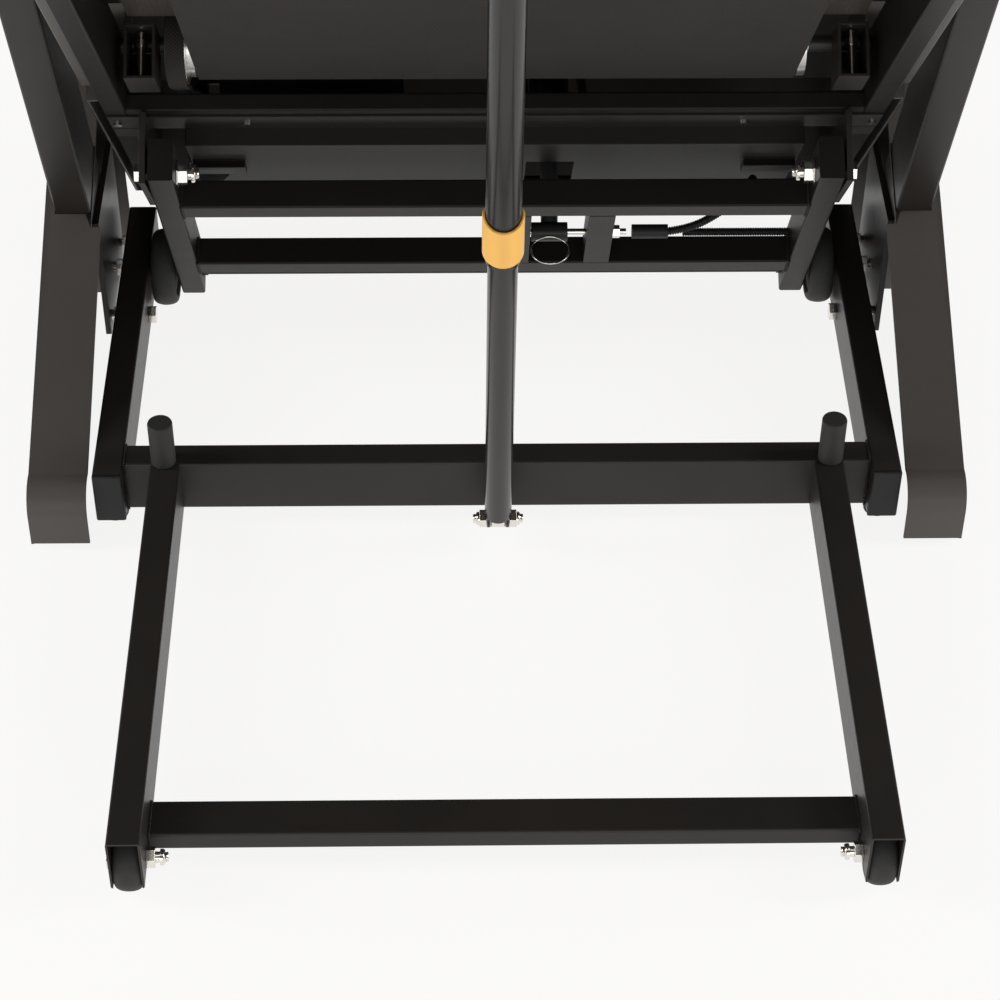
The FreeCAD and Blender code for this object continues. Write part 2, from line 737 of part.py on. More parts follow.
def make_console():
    """Beam, housing, screen, two push buttons and a magnetic safety key."""
    frame = console_frame()
    seat, key_row = 24, -100
    beam = box_tube("console_beam", "30", "40", "2 * sizes.upright_inner")
    keep(beam, "console_beam", frame * at(-size("upright_inner"), 0, seat - 15) * ALONG_X)
    half, deep, thick, wall = (size("console_half"), size("console_deep"), size("console_thick"),
                               size("console_wall"))
    face = seat + thick
    front = size("console_front")
    outer = Part.makeBox(2 * half, deep, thick, Vector(-half, front - deep, seat))
    outer = outer.makeFillet(22, [e for e in outer.Edges if e.Length < thick + 1])
    hollow = Part.makeBox(2 * (half - wall) - 30, deep - 2 * wall - 30, thick - 2 * wall,
                          Vector(-half + wall + 15, front + 15 + wall - deep, seat + wall))
    screen_wide, screen_high, screen_low = 320, 150, -40
    window = Part.makeBox(screen_wide, screen_high, 2 * wall, Vector(-screen_wide / 2, screen_low, face - wall - 1))
    seat_cut = Part.makeBox(screen_wide + 4, screen_high + 4, 1.5,
                            Vector(-screen_wide / 2 - 2, screen_low - 2, face - 1.5))
    shell = outer.cut(hollow).cut(window).cut(seat_cut)
    buttons = ((-60, "start_button"), (60, "stop_button"))
    for x, label in buttons:
        shell = shell.cut(Part.makeCylinder(size("button_radius") + 0.4, 2 * wall, Vector(x, key_row, face - wall - 1)))
    feature("console_housing", shell, frame)
    screen = Part.makeBox(screen_wide + 3, screen_high + 3, 1.5,
                          Vector(-screen_wide / 2 - 1.5, screen_low - 1.5, face - 1.5))
    feature("console_screen", screen, frame)
    for x, label in buttons:
        key = round_bar(label, "2 * sizes.button_radius", "8")
        keep(key, label, frame * at(x, key_row, face - 5))
    puck = round_bar("safety_key", "26", "9")
    keep(puck, "safety_key", frame * at(0, key_row, face))


# ---------------------------------------------------------------- lift frame

def make_lift_arms():
    """Two arms from the fold axis, each with a boss there, to the bolts on the deck's hinge plates."""
    arms = []
    for name, side in SIDES:
        arm = box_tube("arm_" + name, cell("arm_wide"), cell("arm_deep"), "sizes.arm_tail + sizes.arm_reach")
        middle = side * (size("arm_inner") + size("arm_wide") / 2)
        arm.Placement = LIFT * at(middle, 0, -size("arm_tail"))
        start = middle - size("arm_wide") / 2 - 5
        bore = rod("arm_bore_" + name, "sizes.pivot_diameter / 2 + sizes.running_gap",
                   "sizes.arm_wide + 10", LIFT * at(start, 0, size("deck_pivot")) * ALONG_X)
        boss_start = size("arm_inner") - 5 if side > 0 else -size("arm_inner")
        boss = hexagon("arm_boss_" + name, size("nut_wide"), 5, LIFT * at(boss_start, 0, 0) * ALONG_X)
        caps = [block(f"arm_cap_{name}_{k}", "sizes.arm_wide - 2 * sizes.tube_wall",
                      "sizes.arm_deep - 2 * sizes.tube_wall", cell("cap_thick"),
                      LIFT * at(middle - size("arm_wide") / 2 + size("tube_wall"),
                                -size("arm_deep") / 2 + size("tube_wall"), u))
                for k, u in enumerate((-size("arm_tail"), size("arm_reach") - size("cap_thick")))]
        arms.append(fuse("lift_arm_" + name, cut("lift_arm_" + name, arm, bore), boss, *caps))
    keep(group("lift_arms", *arms), "lift_arms", Placement())


def make_lift_bars():
    """Two square bars between the arms, flush with their user side, and the posts between them."""
    bars = []
    v_middle = -size("arm_deep") / 2 + size("bar_size") / 2
    for name, start in (("lower", size("lower_bar")), ("upper", size("upper_bar"))):
        bar = box_tube("lift_bar_" + name, cell("bar_size"), cell("bar_size"), "2 * sizes.arm_inner")
        bar.Placement = LIFT * at(-size("arm_inner"), v_middle, start + size("bar_size") / 2) * ALONG_X
        bars.append(bar)
    keep(group("lift_bars", *bars, *lift_posts()), "lift_bars", Placement())


def lift_posts():
    """Two short posts between the bars that hold the clevis pin."""
    posts = []
    v_low = -size("arm_deep") / 2
    for k, x in enumerate((size("post_one"), size("post_two"))):
        post = block(f"post_{k}", cell("post_wide"), cell("bar_size"),
                     "sizes.upper_bar - sizes.lower_bar - sizes.bar_size",
                     LIFT * at(x, v_low, size("lower_bar") + size("bar_size")))
        hole = rod(f"post_hole_{k}", "sizes.clevis_diameter / 2 + sizes.running_gap", "40",
                   LIFT * at(x - 5, size("clevis_drop"), size("clevis_reach")) * ALONG_X)
        posts.append(cut(f"post_{k}", post, hole))
    return posts


def make_clevis_pin():
    """The pin through both posts with its nut, and the wire ring that pulls it."""
    start = size("post_one") - 4
    end = size("post_two") + size("post_wide")
    v, u = size("clevis_drop"), size("clevis_reach")
    shank = rod("clevis_shank", "sizes.clevis_diameter / 2", str(end + 16 - start), LIFT * at(start, v, u) * ALONG_X)
    nut = hexagon("clevis_nut", 12, 9, LIFT * at(end, v, u) * ALONG_X)
    ring = doc.addObject("Part::Torus", "pull_ring")
    ring.setExpression("Radius1", cell("ring_radius"))
    ring.Radius2 = 0.8
    pin = (LIFT * at(0, v, u)).Base
    forward = size("ring_radius") + eye_radius() + 1.5
    ring.Placement = Placement(Vector(size("actuator_side"), pin.y - forward, pin.z), Rotation(Vector(1, 0, 0), 7))
    keep(group("clevis_pin", fuse("clevis_pin", shank, nut), ring), "clevis_pin", Placement())


def eye_radius():
    """The outside of the actuator's eye."""
    return size("clevis_diameter") / 2 + size("actuator_bore_gap") + 5


def make_wiring():
    """A sensor plug beside the clevis pin, its conduit, and a conduit along the lower bar."""
    v, u = size("clevis_drop"), size("clevis_reach")
    start = size("post_two") + size("post_wide") + 22
    plug = rod("plug_body", "7.5", "38", LIFT * at(start, v, u) * ALONG_X)
    keep(plug, "sensor_plug", plug.Placement)
    route = [Vector(start + 38.8, v, u), Vector(start + 62, v + 2, u + 3), Vector(start + 92, v + 14, u + 18),
             Vector(start + 116, v + 28, u + 42), Vector(start + 122, v + 33, u + 68)]
    path = rounded_path(route, [32, 34, 36])
    upper = swept_tube(path, route[0], route[1] - route[0], 4.4)
    behind = -size("arm_deep") / 2 + size("bar_size") + 4.9
    low_u = size("lower_bar") + size("bar_size") - 2
    lower = Part.makeCylinder(4.4, size("arm_inner") - 1 - 205, Vector(205, behind, low_u), Vector(1, 0, 0))
    both = Part.makeCompound([upper, lower])
    feature("wire_conduit", both, LIFT)


# ---------------------------------------------------------------- gas spring

def make_gas_spring():
    """Lower tube with its foot, upper tube with its eye, and the latch collar."""
    tube = round_bar("spring_lower", "2 * sizes.spring_inner", "sizes.spring_lower_end - sizes.foot_neck")
    tube.Placement = SPRING * at(0, 0, size("foot_neck"))
    neck = rod("foot_neck_bar", "sizes.foot_width / 2", "sizes.foot_neck + 6", SPRING * at(0, 0, 0))
    foot = rod("foot_eye", cell("foot_radius"), cell("foot_width"),
               SPRING * at(-size("foot_width") / 2, 0, 0) * ALONG_X)
    hole = rod("foot_hole", "sizes.axle_diameter / 2 + sizes.running_gap", "60", SPRING * at(-30, 0, 0) * ALONG_X)
    keep(cut("spring_lower", fuse("spring_lower", tube, neck, foot), hole), "spring_lower_tube", Placement())

    upper = round_bar("spring_upper", "2 * sizes.spring_outer",
                      "sizes.spring_length - sizes.spring_upper_start - sizes.eye_radius",
                      "2 * sizes.spring_inner + 2 * sizes.running_gap")
    upper.Placement = SPRING * at(0, 0, size("spring_upper_start"))
    top = size("spring_length")
    plug = rod("spring_plug", "sizes.spring_inner + sizes.running_gap + 1", "sizes.eye_radius + 20",
               SPRING * at(0, 0, top - size("eye_radius") - 20))
    eye = rod("spring_eye", cell("eye_radius"), "30", SPRING * at(-15, 0, top) * ALONG_X)
    pin = rod("spring_top_pin", "6", "2 * sizes.ear_gap - 2 * sizes.side_gap",
              SPRING * at(-size("ear_gap") + size("side_gap"), 0, top) * ALONG_X)
    keep(fuse("spring_upper", upper, plug, eye, pin), "spring_upper_tube", Placement())

    collar = round_bar("collar", "2 * sizes.collar_radius", cell("collar_length"),
                       "2 * sizes.spring_outer + 2 * sizes.running_gap")
    keep(collar, "latch_collar", SPRING * at(0, 0, size("collar_start")))


# ---------------------------------------------------------------- deck

def make_deck_rails():
    """The deck's two long side rails."""
    for name, side in SIDES:
        rail = box_tube("deck_rail_" + name, cell("rail_wide"), cell("rail_high"),
                        "sizes.rail_back - sizes.rail_front")
        middle = side * (size("rail_inner") + size("rail_wide") / 2)
        keep(rail, "deck_rail_" + name,
             DECK * at(middle, size("rail_low") + size("rail_high") / 2, size("rail_front")))


def actuator_plates():
    """Two plates from the front cross tube up to the actuator's upper pin."""
    side, lift, reach = size("actuator_side"), size("actuator_lift"), size("actuator_reach")
    wall, around = size("ear_thick"), size("trunnion_round")
    foot_v, foot_u = size("rail_low") + size("cross_high") - 1, size("cross_front")
    plates = []
    for name, direction in SIDES:
        start = side + (size("trunnion_gap") if direction > 0 else -size("trunnion_gap") - wall)
        corners = [Vector(start, v, u) for v, u in (
            (lift - around, reach), (lift - around * 0.5, reach - around * 0.87), (lift + around * 0.5,
             reach - around * 0.87), (lift + around, reach), (foot_v, foot_u + size("cross_wide")),
            (foot_v, foot_u + 2))]
        outline = Part.makePolygon(corners + corners[:1])
        plate = Part.Face(outline).extrude(Vector(wall, 0, 0))
        hole = Part.makeCylinder(size("trunnion_radius") + size("running_gap"), 4 * wall,
                                 Vector(start - wall, lift, reach), Vector(1, 0, 0))
        item = doc.addObject("Part::Feature", f"actuator_plate_{name}")
        item.Shape = plate.cut(hole)
        item.Placement = DECK
        plates.append(item)
    return plates


def make_deck_cross_tubes():
    """Flat tubes under the belt, the middle one with two ears for the gas spring."""
    tubes = []
    v_middle = size("rail_low") + size("cross_high") / 2
    for name in ("front", "spring", "back"):
        tube = box_tube("deck_cross_" + name, cell("cross_wide"), cell("cross_high"), "2 * sizes.rail_inner")
        start = size("cross_" + name) + size("cross_wide") / 2
        tube.Placement = DECK * at(-size("rail_inner"), v_middle, start) * ALONG_X
        if name == "front":
            tubes.append(fuse("deck_cross_front_bracket", tube, *actuator_plates()))
            continue
        if name != "spring":
            tubes.append(tube)
            continue
        ears = [block("spring_ear_" + end, cell("ear_thick"), "sizes.rail_low - 48", cell("cross_wide"),
                      DECK * at(size("ear_gap") if side > 0 else -size("ear_gap") - size("ear_thick"),
                                48, size("cross_spring")))
                for end, side in SIDES]
        tubes.append(fuse("deck_cross_spring", tube, *ears))
    keep(group("deck_cross_tubes", *tubes), "deck_cross_tubes", Placement())


def roller_axis():
    """The rollers' height above the fold axis."""
    return size("rail_low") + size("belt_lift") + size("belt_thick") + size("roller_radius")


def make_running_belt():
    """The endless belt round both rollers."""
    v, front, back = roller_axis(), size("roller_front"), size("roller_back")

    def loop(radius):
        top_front, low_front = Vector(0, v + radius, front), Vector(0, v - radius, front)
        top_back, low_back = Vector(0, v + radius, back), Vector(0, v - radius, back)
        return Part.Wire([Part.LineSegment(low_front, low_back).toShape(),
                          Part.Arc(low_back, Vector(0, v, back + radius), top_back).toShape(),
                          Part.LineSegment(top_back, top_front).toShape(),
                          Part.Arc(top_front, Vector(0, v, front - radius), low_front).toShape()])

    inner = size("roller_radius") + 0.3
    width = Vector(2 * size("belt_half"), 0, 0)
    outer_solid = Part.Face(loop(inner + size("belt_thick"))).extrude(width)
    belt = outer_solid.cut(Part.Face(loop(inner)).extrude(width))
    belt.translate(Vector(-size("belt_half"), 0, 0))
    feature("running_belt", belt, DECK)


def make_rollers():
    """Rollers with stub axles, the front one with the drive pulley."""
    v = roller_axis()
    for name, reach in (("front", size("roller_front")), ("rear", size("roller_back"))):
        drum = rod(f"{name}_drum", cell("roller_radius"), "2 * sizes.roller_half",
                   DECK * at(-size("roller_half"), v, reach) * ALONG_X)
        axle = rod(f"{name}_axle", "8", "2 * sizes.rail_inner - 2", DECK * at(1 - size("rail_inner"), v, reach) * ALONG_X)
        pieces = [drum, axle]
        if name == "front":
            pieces.append(rod("pulley", cell("pulley_radius"), cell("pulley_width"),
                              DECK * at(-size("roller_half") - size("pulley_width"), v, reach) * ALONG_X))
        keep(fuse(name + "_roller", *pieces), name + "_roller", Placement())


def make_running_board():
    """The board under the belt's upper run."""
    v = roller_axis() + size("roller_radius") + 0.3 - size("board_thick") - 0.3
    board = block("board", "2 * sizes.board_half", cell("board_thick"),
                  "sizes.roller_back - sizes.roller_front - 2 * sizes.roller_radius - 50",
                  DECK * at(-size("board_half"), v, size("roller_front") + size("roller_radius") + 30))
    keep(board, "running_board", board.Placement)


def make_foot_rails():
    """Plastic foot rails over the deck's sides, each with a skirt outside the rail."""
    top, low, thick = size("foot_rail_top"), size("foot_rail_low"), 4
    inner, outer = size("foot_rail_inner"), size("foot_rail_outer")
    length = size("foot_rail_back") - size("foot_rail_front")
    skirt_inner = size("rail_inner") + size("rail_wide") + size("side_gap")
    outline = [Vector(inner, top - thick, 0), Vector(inner, top, 0), Vector(outer - 6, top, 0),
               Vector(outer, top - 6, 0), Vector(outer, low, 0), Vector(skirt_inner, low, 0),
               Vector(skirt_inner, top - thick, 0)]
    solid = Part.Face(Part.makePolygon(outline + outline[:1])).extrude(Vector(0, 0, length))
    solid.translate(Vector(0, 0, size("foot_rail_front")))
    for name, side in SIDES:
        feature("foot_rail_" + name, mirror_x(solid, side), DECK)


def make_rear_legs():
    """Legs at the deck's rear corners that stand on the floor when it is lowered."""
    legs = []
    low = -size("pivot_up") - size("floor_gap") + 1
    for name, side in SIDES:
        x = size("rail_inner") - 22 if side > 0 else -size("rail_inner") - size("rail_wide") - 16
        leg = block("leg_block_" + name, "sizes.rail_wide + 38", str(size("rail_low") - low - 0.3),
                    cell("leg_long"), DECK * at(x, low, size("rail_back") - size("leg_long")))
        soft = doc.addObject("Part::Fillet", "leg_" + name)
        soft.Base = leg
        doc.recompute()
        soft.Edges = [(k, 8, 8) for k, edge in enumerate(leg.Shape.Edges, start=1)
                      if abs(edge.Length - (size("rail_low") - low - 0.3)) < 0.01]
        legs.append(soft)
    keep(group("rear_legs", *legs), "rear_legs", Placement())


def make_flange():
    """The sheet flange behind the motor pan, with its screws."""
    start = size("cross_front") - 30
    low = size("rail_low") - size("flange_thick")
    half = size("rail_inner") + size("rail_wide") - 2
    sheet_metal = block("flange_sheet", str(2 * half), cell("flange_thick"), cell("flange_wide"),
                        DECK * at(-half, low, start))
    keep(sheet_metal, "pan_flange", sheet_metal.Placement)
    screws = []
    for k, x in enumerate((-half + 8, -250, 250, half - 8)):
        screws.append(rod(f"screw_{k}", "4.5", "2.6", DECK * at(x, low - 2.6, start + 22) * ALONG_Y))
    keep(group("pan_screws", *screws), "pan_screws", Placement())


def make_pan():
    """The plastic pan below the motor, a shell with two raised ribs and a slot for the actuator."""
    half, wall, deep = size("pan_half"), size("pan_wall"), size("pan_deep")
    top = size("rail_low") - size("flange_thick")
    front, back = size("pan_front"), size("cross_front") - 30
    outer = Part.makeBox(2 * half, deep + size("flange_thick"), back - front, Vector(-half, top - deep, front))
    hollow = Part.makeBox(2 * (half - wall), deep + 10, back - front - 2 * wall,
                          Vector(-half + wall, top - deep + wall, front + wall))
    shell = outer.cut(hollow)
    for side in (-1, 1):
        low_x = side * size("rib_middle") - size("rib_width") / 2
        shell = shell.fuse(Part.makeBox(size("rib_width"), size("rib_high"), size("rib_long"),
                                        Vector(low_x, top - deep - size("rib_high"), back - 92)))
    slot_middle = size("actuator_side")
    slot_back = size("actuator_reach") + 20
    shell = shell.cut(Part.makeBox(50, deep + 20, 85, Vector(slot_middle - 25, top - deep - 10, slot_back - 85)))
    feature("motor_pan", shell, DECK)


def make_hinge_plates():
    """Plates below the rails that the lift arms are bolted to, with a bent flange."""
    plates = []
    pivot = deck_pivot_in_deck()
    thick, inner = size("plate_thick"), size("plate_inner")
    top = size("rail_low") - size("flange_thick")
    reach = size("plate_reach")
    start = pivot.z - 0.65 * reach
    bent = size("cross_front") - 30 - start
    for name, side in SIDES:
        low_x = inner if side > 0 else -inner - thick
        web = block("hinge_web_" + name, cell("plate_thick"), str(top - size("plate_low")), cell("plate_reach"),
                    DECK * at(low_x, size("plate_low"), start))
        flange_x = inner if side > 0 else -inner - 40
        flange = block("hinge_flange_" + name, "40", "3", str(bent - 0.2),
                       DECK * at(flange_x, size("rail_low") - 3, start))
        hole = rod("hinge_hole_" + name, "sizes.pivot_diameter / 2 + sizes.running_gap", "30",
                   DECK * at(low_x - 10, pivot.y, pivot.z) * ALONG_X)
        plates.append(cut("hinge_plate_" + name, fuse("hinge_plate_" + name, web, flange), hole))
    keep(group("hinge_plates", *plates), "hinge_plates", Placement())


def deck_pivot_in_deck():
    """The deck's bolt on the lift arm, in the deck's frame."""
    world = (LIFT * at(0, 0, size("deck_pivot"))).Base
    return DECK.inverse().multVec(world)


def make_deck_bolts():
    """The two bolts that join the hinge plates to the lift arms, nuts inside."""
    pivot = deck_pivot_in_deck()
    inner, outer = size("arm_inner"), size("plate_inner") + size("plate_thick")
    nut = size("nut_high") + 1.5
    bolts = [bolt("deck_bolt_" + name, size("pivot_diameter"), side, (inner - nut - 6, outer),
                  [(inner - nut - 1.5, inner - 1.5, size("nut_wide") + 4), (inner - 1.5, inner, size("nut_wide") + 8),
                   (outer, outer + size("nut_high"), size("nut_wide") + 1)],
                  pivot.y, pivot.z, DECK) for name, side in SIDES]
    keep(group("deck_bolts", *bolts), "deck_bolts", Placement())


def make_cushion_brackets():
    """Open boxes beside the front roller, each with a bolt for the board's cushion."""
    boxes, bolts = [], []
    wide, high, long_way, wall = size("bracket_wide"), size("bracket_high"), size("bracket_long"), 3
    low_v = size("rail_low") + 8
    back = size("bracket_back")
    for name, side in SIDES:
        x = side * 342 - wide / 2
        outer = Part.makeBox(wide, high, long_way, Vector(x, low_v, back - long_way))
        inner = Part.makeBox(wide - 2 * wall, high - 2 * wall, long_way, Vector(x + wall, low_v + wall, back - long_way + wall))
        axle = Part.makeCylinder(9, wide + 20, Vector(x - 10, roller_axis(), size("roller_front")), Vector(1, 0, 0))
        box = doc.addObject("Part::Feature", "cushion_box_" + name)
        box.Shape = outer.cut(inner).cut(axle)
        box.Placement = DECK
        boxes.append(box)
        screw = doc.addObject("Part::Feature", "cushion_bolt_" + name)
        stem = Part.makeCylinder(4, high - 2 * wall - 4, Vector(x + wide / 2, low_v + wall + 2, back - 16), Vector(0, 1, 0))
        collar = Part.makeCylinder(6.5, 6, Vector(x + wide / 2, low_v + high - wall - 16, back - 16), Vector(0, 1, 0))
        screw.Shape = stem.fuse(collar)
        screw.Placement = DECK
        bolts.append(screw)
    keep(group("cushion_brackets", *boxes), "cushion_brackets", Placement())
    keep(group("cushion_bolts", *bolts), "cushion_bolts", Placement())


def make_motor():
    """The drive motor with its small pulley, and the ribbed belt to the roller's pulley."""
    v, u = size("motor_lift"), size("motor_reach")
    small = 18
    x_pulley = -size("roller_half") - size("pulley_width")
    can = rod("motor_can", cell("motor_radius"), cell("motor_length"),
              DECK * at(x_pulley + size("pulley_width") + 16, v, u) * ALONG_X)
    shaft = rod("motor_shaft", "7", str(size("pulley_width") + 20), DECK * at(x_pulley + 1, v, u) * ALONG_X)
    pulley = rod("motor_pulley", str(small), cell("pulley_width"), DECK * at(x_pulley, v, u) * ALONG_X)
    keep(fuse("drive_motor", can, shaft, pulley), "drive_motor", Placement())

    def loop(extra):
        big_v, big_u, big = roller_axis(), size("roller_front"), size("pulley_radius") + extra
        r_small = small + extra
        span = math.hypot(big_v - v, big_u - u)
        lean = math.atan2(big_v - v, big_u - u)
        swing = math.acos((r_small - big) / span)
        def spot(centre_v, centre_u, radius, angle):
            return Vector(0, centre_v + radius * math.sin(angle), centre_u + radius * math.cos(angle))
        up, down = lean + swing, lean - swing
        a, b = spot(big_v, big_u, big, up), spot(v, u, r_small, up)
        c, d = spot(v, u, r_small, down), spot(big_v, big_u, big, down)
        return Part.Wire([Part.LineSegment(a, b).toShape(),
                          Part.Arc(b, spot(v, u, r_small, lean + math.pi), c).toShape(),
                          Part.LineSegment(c, d).toShape(),
                          Part.Arc(d, spot(big_v, big_u, big, lean), a).toShape()])

    width = Vector(size("pulley_width") - 2, 0, 0)
    ribbed = Part.Face(loop(3.4)).extrude(width).cut(Part.Face(loop(0.3)).extrude(width))
    ribbed.translate(Vector(x_pulley + 1, 0, 0))
    feature("drive_belt", ribbed, DECK)


def make_hood():
    """The motor hood on the walking side, a shell open towards the pan, and its power inlet."""
    half, wall, top = size("hood_half"), size("hood_wall"), size("hood_top")
    front, back = size("hood_front"), size("hood_back")
    low = size("rail_low") + 4

    def outline(inset):
        lip = 60 + inset
        points = [(low, front + inset), (top - 90, front + inset), (top - inset, front + lip + 60),
                  (top - inset, front + 240), (size("foot_rail_top") + 12 - inset, back - inset),
                  (low, back - inset)]
        return polygon([(v, u) for v, u in points])

    outer = Part.Face(outline(0)).extrude(Vector(2 * half, 0, 0))
    inner = Part.Face(outline(wall)).extrude(Vector(2 * (half - wall), 0, 0))
    inner.translate(Vector(wall, 0, 0))
    below = Part.makeBox(2 * (half - wall), 6, back - front - 2 * wall, Vector(wall, low - 3, front + wall))
    shell = outer.cut(inner).cut(below)
    shell.translate(Vector(-half, 0, 0))
    belt_way = Part.makeBox(2 * (size("rail_inner") - 1), size("foot_rail_top") - 2 - low, 20,
                            Vector(1 - size("rail_inner"), low - 1, back - 10))
    rails_way = Part.makeBox(2 * (size("rail_inner") + size("rail_wide") + 1), size("rail_high") + 6, 20,
                             Vector(-size("rail_inner") - size("rail_wide") - 1, low - 5, back - 10))
    inlet_low = Vector(size("inlet_side") - size("inlet_wide") / 2, low + 30, front - 3)
    inlet = Part.makeBox(size("inlet_wide"), size("inlet_high"), 22, inlet_low)
    recess = Part.makeBox(size("inlet_wide") - 10, size("inlet_high") - 10, 16, inlet_low + Vector(5, 5, -1))
    shell = shell.cut(belt_way).cut(rails_way).cut(inlet)
    feature("motor_hood", shell, DECK)
    feature("power_inlet", inlet.cut(recess), DECK)


def make_actuator():
    """The lift actuator: body hung in the motor bay, rod with an eye round the clevis pin."""
    x = size("actuator_side")
    mount = DECK.multVec(Vector(x, size("actuator_lift"), size("actuator_reach")))
    pin = LIFT.multVec(Vector(x, size("clevis_drop"), size("clevis_reach")))
    along = pin - mount
    length = along.Length
    frame = Placement(mount, Rotation(Vector(0, 0, 1), along))
    body_length = 105
    tube = rod("actuator_tube", cell("actuator_radius"), str(body_length), frame * at(0, 0, 0))
    gear = block("actuator_gear", cell("gear_width"), cell("gear_high"), cell("gear_long"),
                 frame * at(-size("gear_width") / 2, -size("gear_high") / 2, -40))
    trunnion = rod("actuator_trunnion", cell("trunnion_radius"), "2 * sizes.trunnion_reach",
                   Placement(mount, Rotation()) * at(-size("trunnion_reach"), 0, 0) * ALONG_X)
    bore = rod("actuator_tube_bore", "sizes.actuator_rod + sizes.running_gap", str(body_length + 1),
               frame * at(0, 0, 0.5))
    case = cut("actuator_body", fuse("actuator_body", tube, gear), bore)
    keep(fuse("actuator_body_pinned", case, trunnion), "actuator_body", Placement())
    shaft = rod("actuator_shaft", cell("actuator_rod"), str(length - 60), frame * at(0, 0, 50))
    eye = rod("actuator_eye", str(eye_radius()), "38", Placement(pin, Rotation()) * at(-19, 0, 0) * ALONG_X)
    eye_bore = rod("actuator_eye_bore", "sizes.clevis_diameter / 2 + sizes.actuator_bore_gap", "60",
                   Placement(pin, Rotation()) * at(-30, 0, 0) * ALONG_X)
    keep(cut("actuator_rod", fuse("actuator_rod", shaft, eye), eye_bore), "actuator_rod", Placement())


# ---------------------------------------------------------------- build and write

for build in (make_runners, make_side_tubes, make_cross_tubes, make_tube_caps, make_rubber_buffers,
              make_wheels, make_base_bolts, make_spring_lug, make_uprights,
              make_side_covers, make_handrails, make_console, make_lift_arms, make_lift_bars,
              make_clevis_pin, make_wiring, make_gas_spring, make_deck_rails,
              make_deck_cross_tubes, make_running_belt, make_rollers, make_running_board,
              make_foot_rails, make_rear_legs, make_flange, make_pan, make_hinge_plates,
              make_deck_bolts, make_cushion_brackets, make_motor, make_hood, make_actuator):
    build()
doc.recompute()

for item in doc.Objects:
    if "Invalid" in item.State or "Error" in item.State:
        raise RuntimeError(f"{item.Name} failed: {item.State}")
os.makedirs("parts", exist_ok=True)
for part in parts:
    if part.Shape.isNull() or not part.Shape.isValid():
        raise RuntimeError(f"{part.Label} has no valid shape")
for part in parts:
    part.Shape.exportStep(f"parts/{part.Label}.step")
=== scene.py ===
"""Looks of a folding treadmill, built round its fixed mechanical frame."""
import json
import math

import bmesh
import bpy
from bpy.props import FloatProperty, FloatVectorProperty, IntProperty, PointerProperty
from mathutils import Matrix, Vector


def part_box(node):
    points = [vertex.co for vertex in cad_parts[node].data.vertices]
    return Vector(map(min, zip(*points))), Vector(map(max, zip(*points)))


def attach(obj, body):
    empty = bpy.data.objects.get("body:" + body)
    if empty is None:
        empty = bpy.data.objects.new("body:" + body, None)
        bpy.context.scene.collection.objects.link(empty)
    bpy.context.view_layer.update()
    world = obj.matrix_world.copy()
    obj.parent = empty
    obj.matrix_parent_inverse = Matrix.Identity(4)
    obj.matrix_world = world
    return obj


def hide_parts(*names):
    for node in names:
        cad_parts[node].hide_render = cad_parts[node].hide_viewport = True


bl_info = {
    "name": "Folding treadmill",
    "version": (1, 0, 0),
    "blender": (4, 5, 0),
    "location": "View3D > Sidebar > Treadmill",
    "description": "Finishes, fasteners, welds, wheels and stage of a folding treadmill",
    "category": "Object",
}

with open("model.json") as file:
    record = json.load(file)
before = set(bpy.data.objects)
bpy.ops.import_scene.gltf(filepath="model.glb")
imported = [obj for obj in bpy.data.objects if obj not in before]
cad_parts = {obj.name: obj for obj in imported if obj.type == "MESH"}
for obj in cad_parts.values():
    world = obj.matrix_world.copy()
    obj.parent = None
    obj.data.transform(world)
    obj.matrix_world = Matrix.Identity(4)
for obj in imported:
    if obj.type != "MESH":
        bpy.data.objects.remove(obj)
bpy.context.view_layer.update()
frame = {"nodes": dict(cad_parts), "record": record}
JOINTS = {joint["name"]: joint for joint in frame["record"]["behaviour"]["joints"]}
MOUNTS = {mount["name"]: mount for mount in frame["record"]["mounts"]}
NODE_BODY = {node: body for body, nodes in frame["record"]["behaviour"]["bodies"].items() for node in nodes}

ACROSS = Vector((1, 0, 0))
FOLD = Vector(JOINTS["fold"]["pos_m"])
DECK_BOLT = Vector(JOINTS["incline"]["pos_m"])
DECK_OUT = Vector(MOUNTS["belt_surface"]["axis"])
DECK_ALONG = Vector((0, -DECK_OUT.z, DECK_OUT.y))
LIFT_ALONG = (DECK_BOLT - FOLD).normalized()
LIFT_OUT = Vector((0, LIFT_ALONG.z, -LIFT_ALONG.y))
SPRING_ALONG = Vector(JOINTS["spring_stroke"]["axis"])
SPRING_FOOT = Vector(JOINTS["spring_swing"]["pos_m"])

THREAD_PITCH = 0.0015
AXIS_GAP = 0.0004           # keeps the middle of a turned shape open, so no face has no area
COLLAR_WALL = 0.0022
COLLAR_ROUND = 0.0007
SCOOP_SHARPNESS = 1.6
BOLT_REACH = 0.016          # vertices nearer than this to an axis belong to its bolt
DOME_HEIGHT = 0.0044
DOME_ROUND = 0.0022
SINK = 0.0006               # how far a dome sits in its nut
FOOT_RADIUS = 0.0086        # lower eye of the gas spring
FOOT_HALF = 0.0076
FOOT_BORE = 0.0051
TREAD_STEPS = 14
TREAD_SWEEP = 82            # degrees each side of the tread's middle
BEAD_SINK = 0.0008
BAR_HALF = 0.015            # half a lift bar's side
ARM_HALF = 0.022            # half a lift arm's depth
BAR_STARTS = (0.042, 0.215)
BEAD_SPREAD = (0.75, 1.15)
CONDUIT_RADIUS = 0.0034
CONDUIT_RIB = 0.0012
CLEVIS_OUT, CLEVIS_REACH = -0.007, 0.128
CONDUIT_ROUTE = ((0, 0, 0), (0.024, 0.002, 0.003), (0.054, 0.014, 0.018), (0.078, 0.028, 0.042),
                 (0.084, 0.033, 0.068))
LOWER_SPANS = (0.205, 0.24, 0.28, 0.317)
LOWER_OUT, LOWER_REACH = 0.0129, 0.070


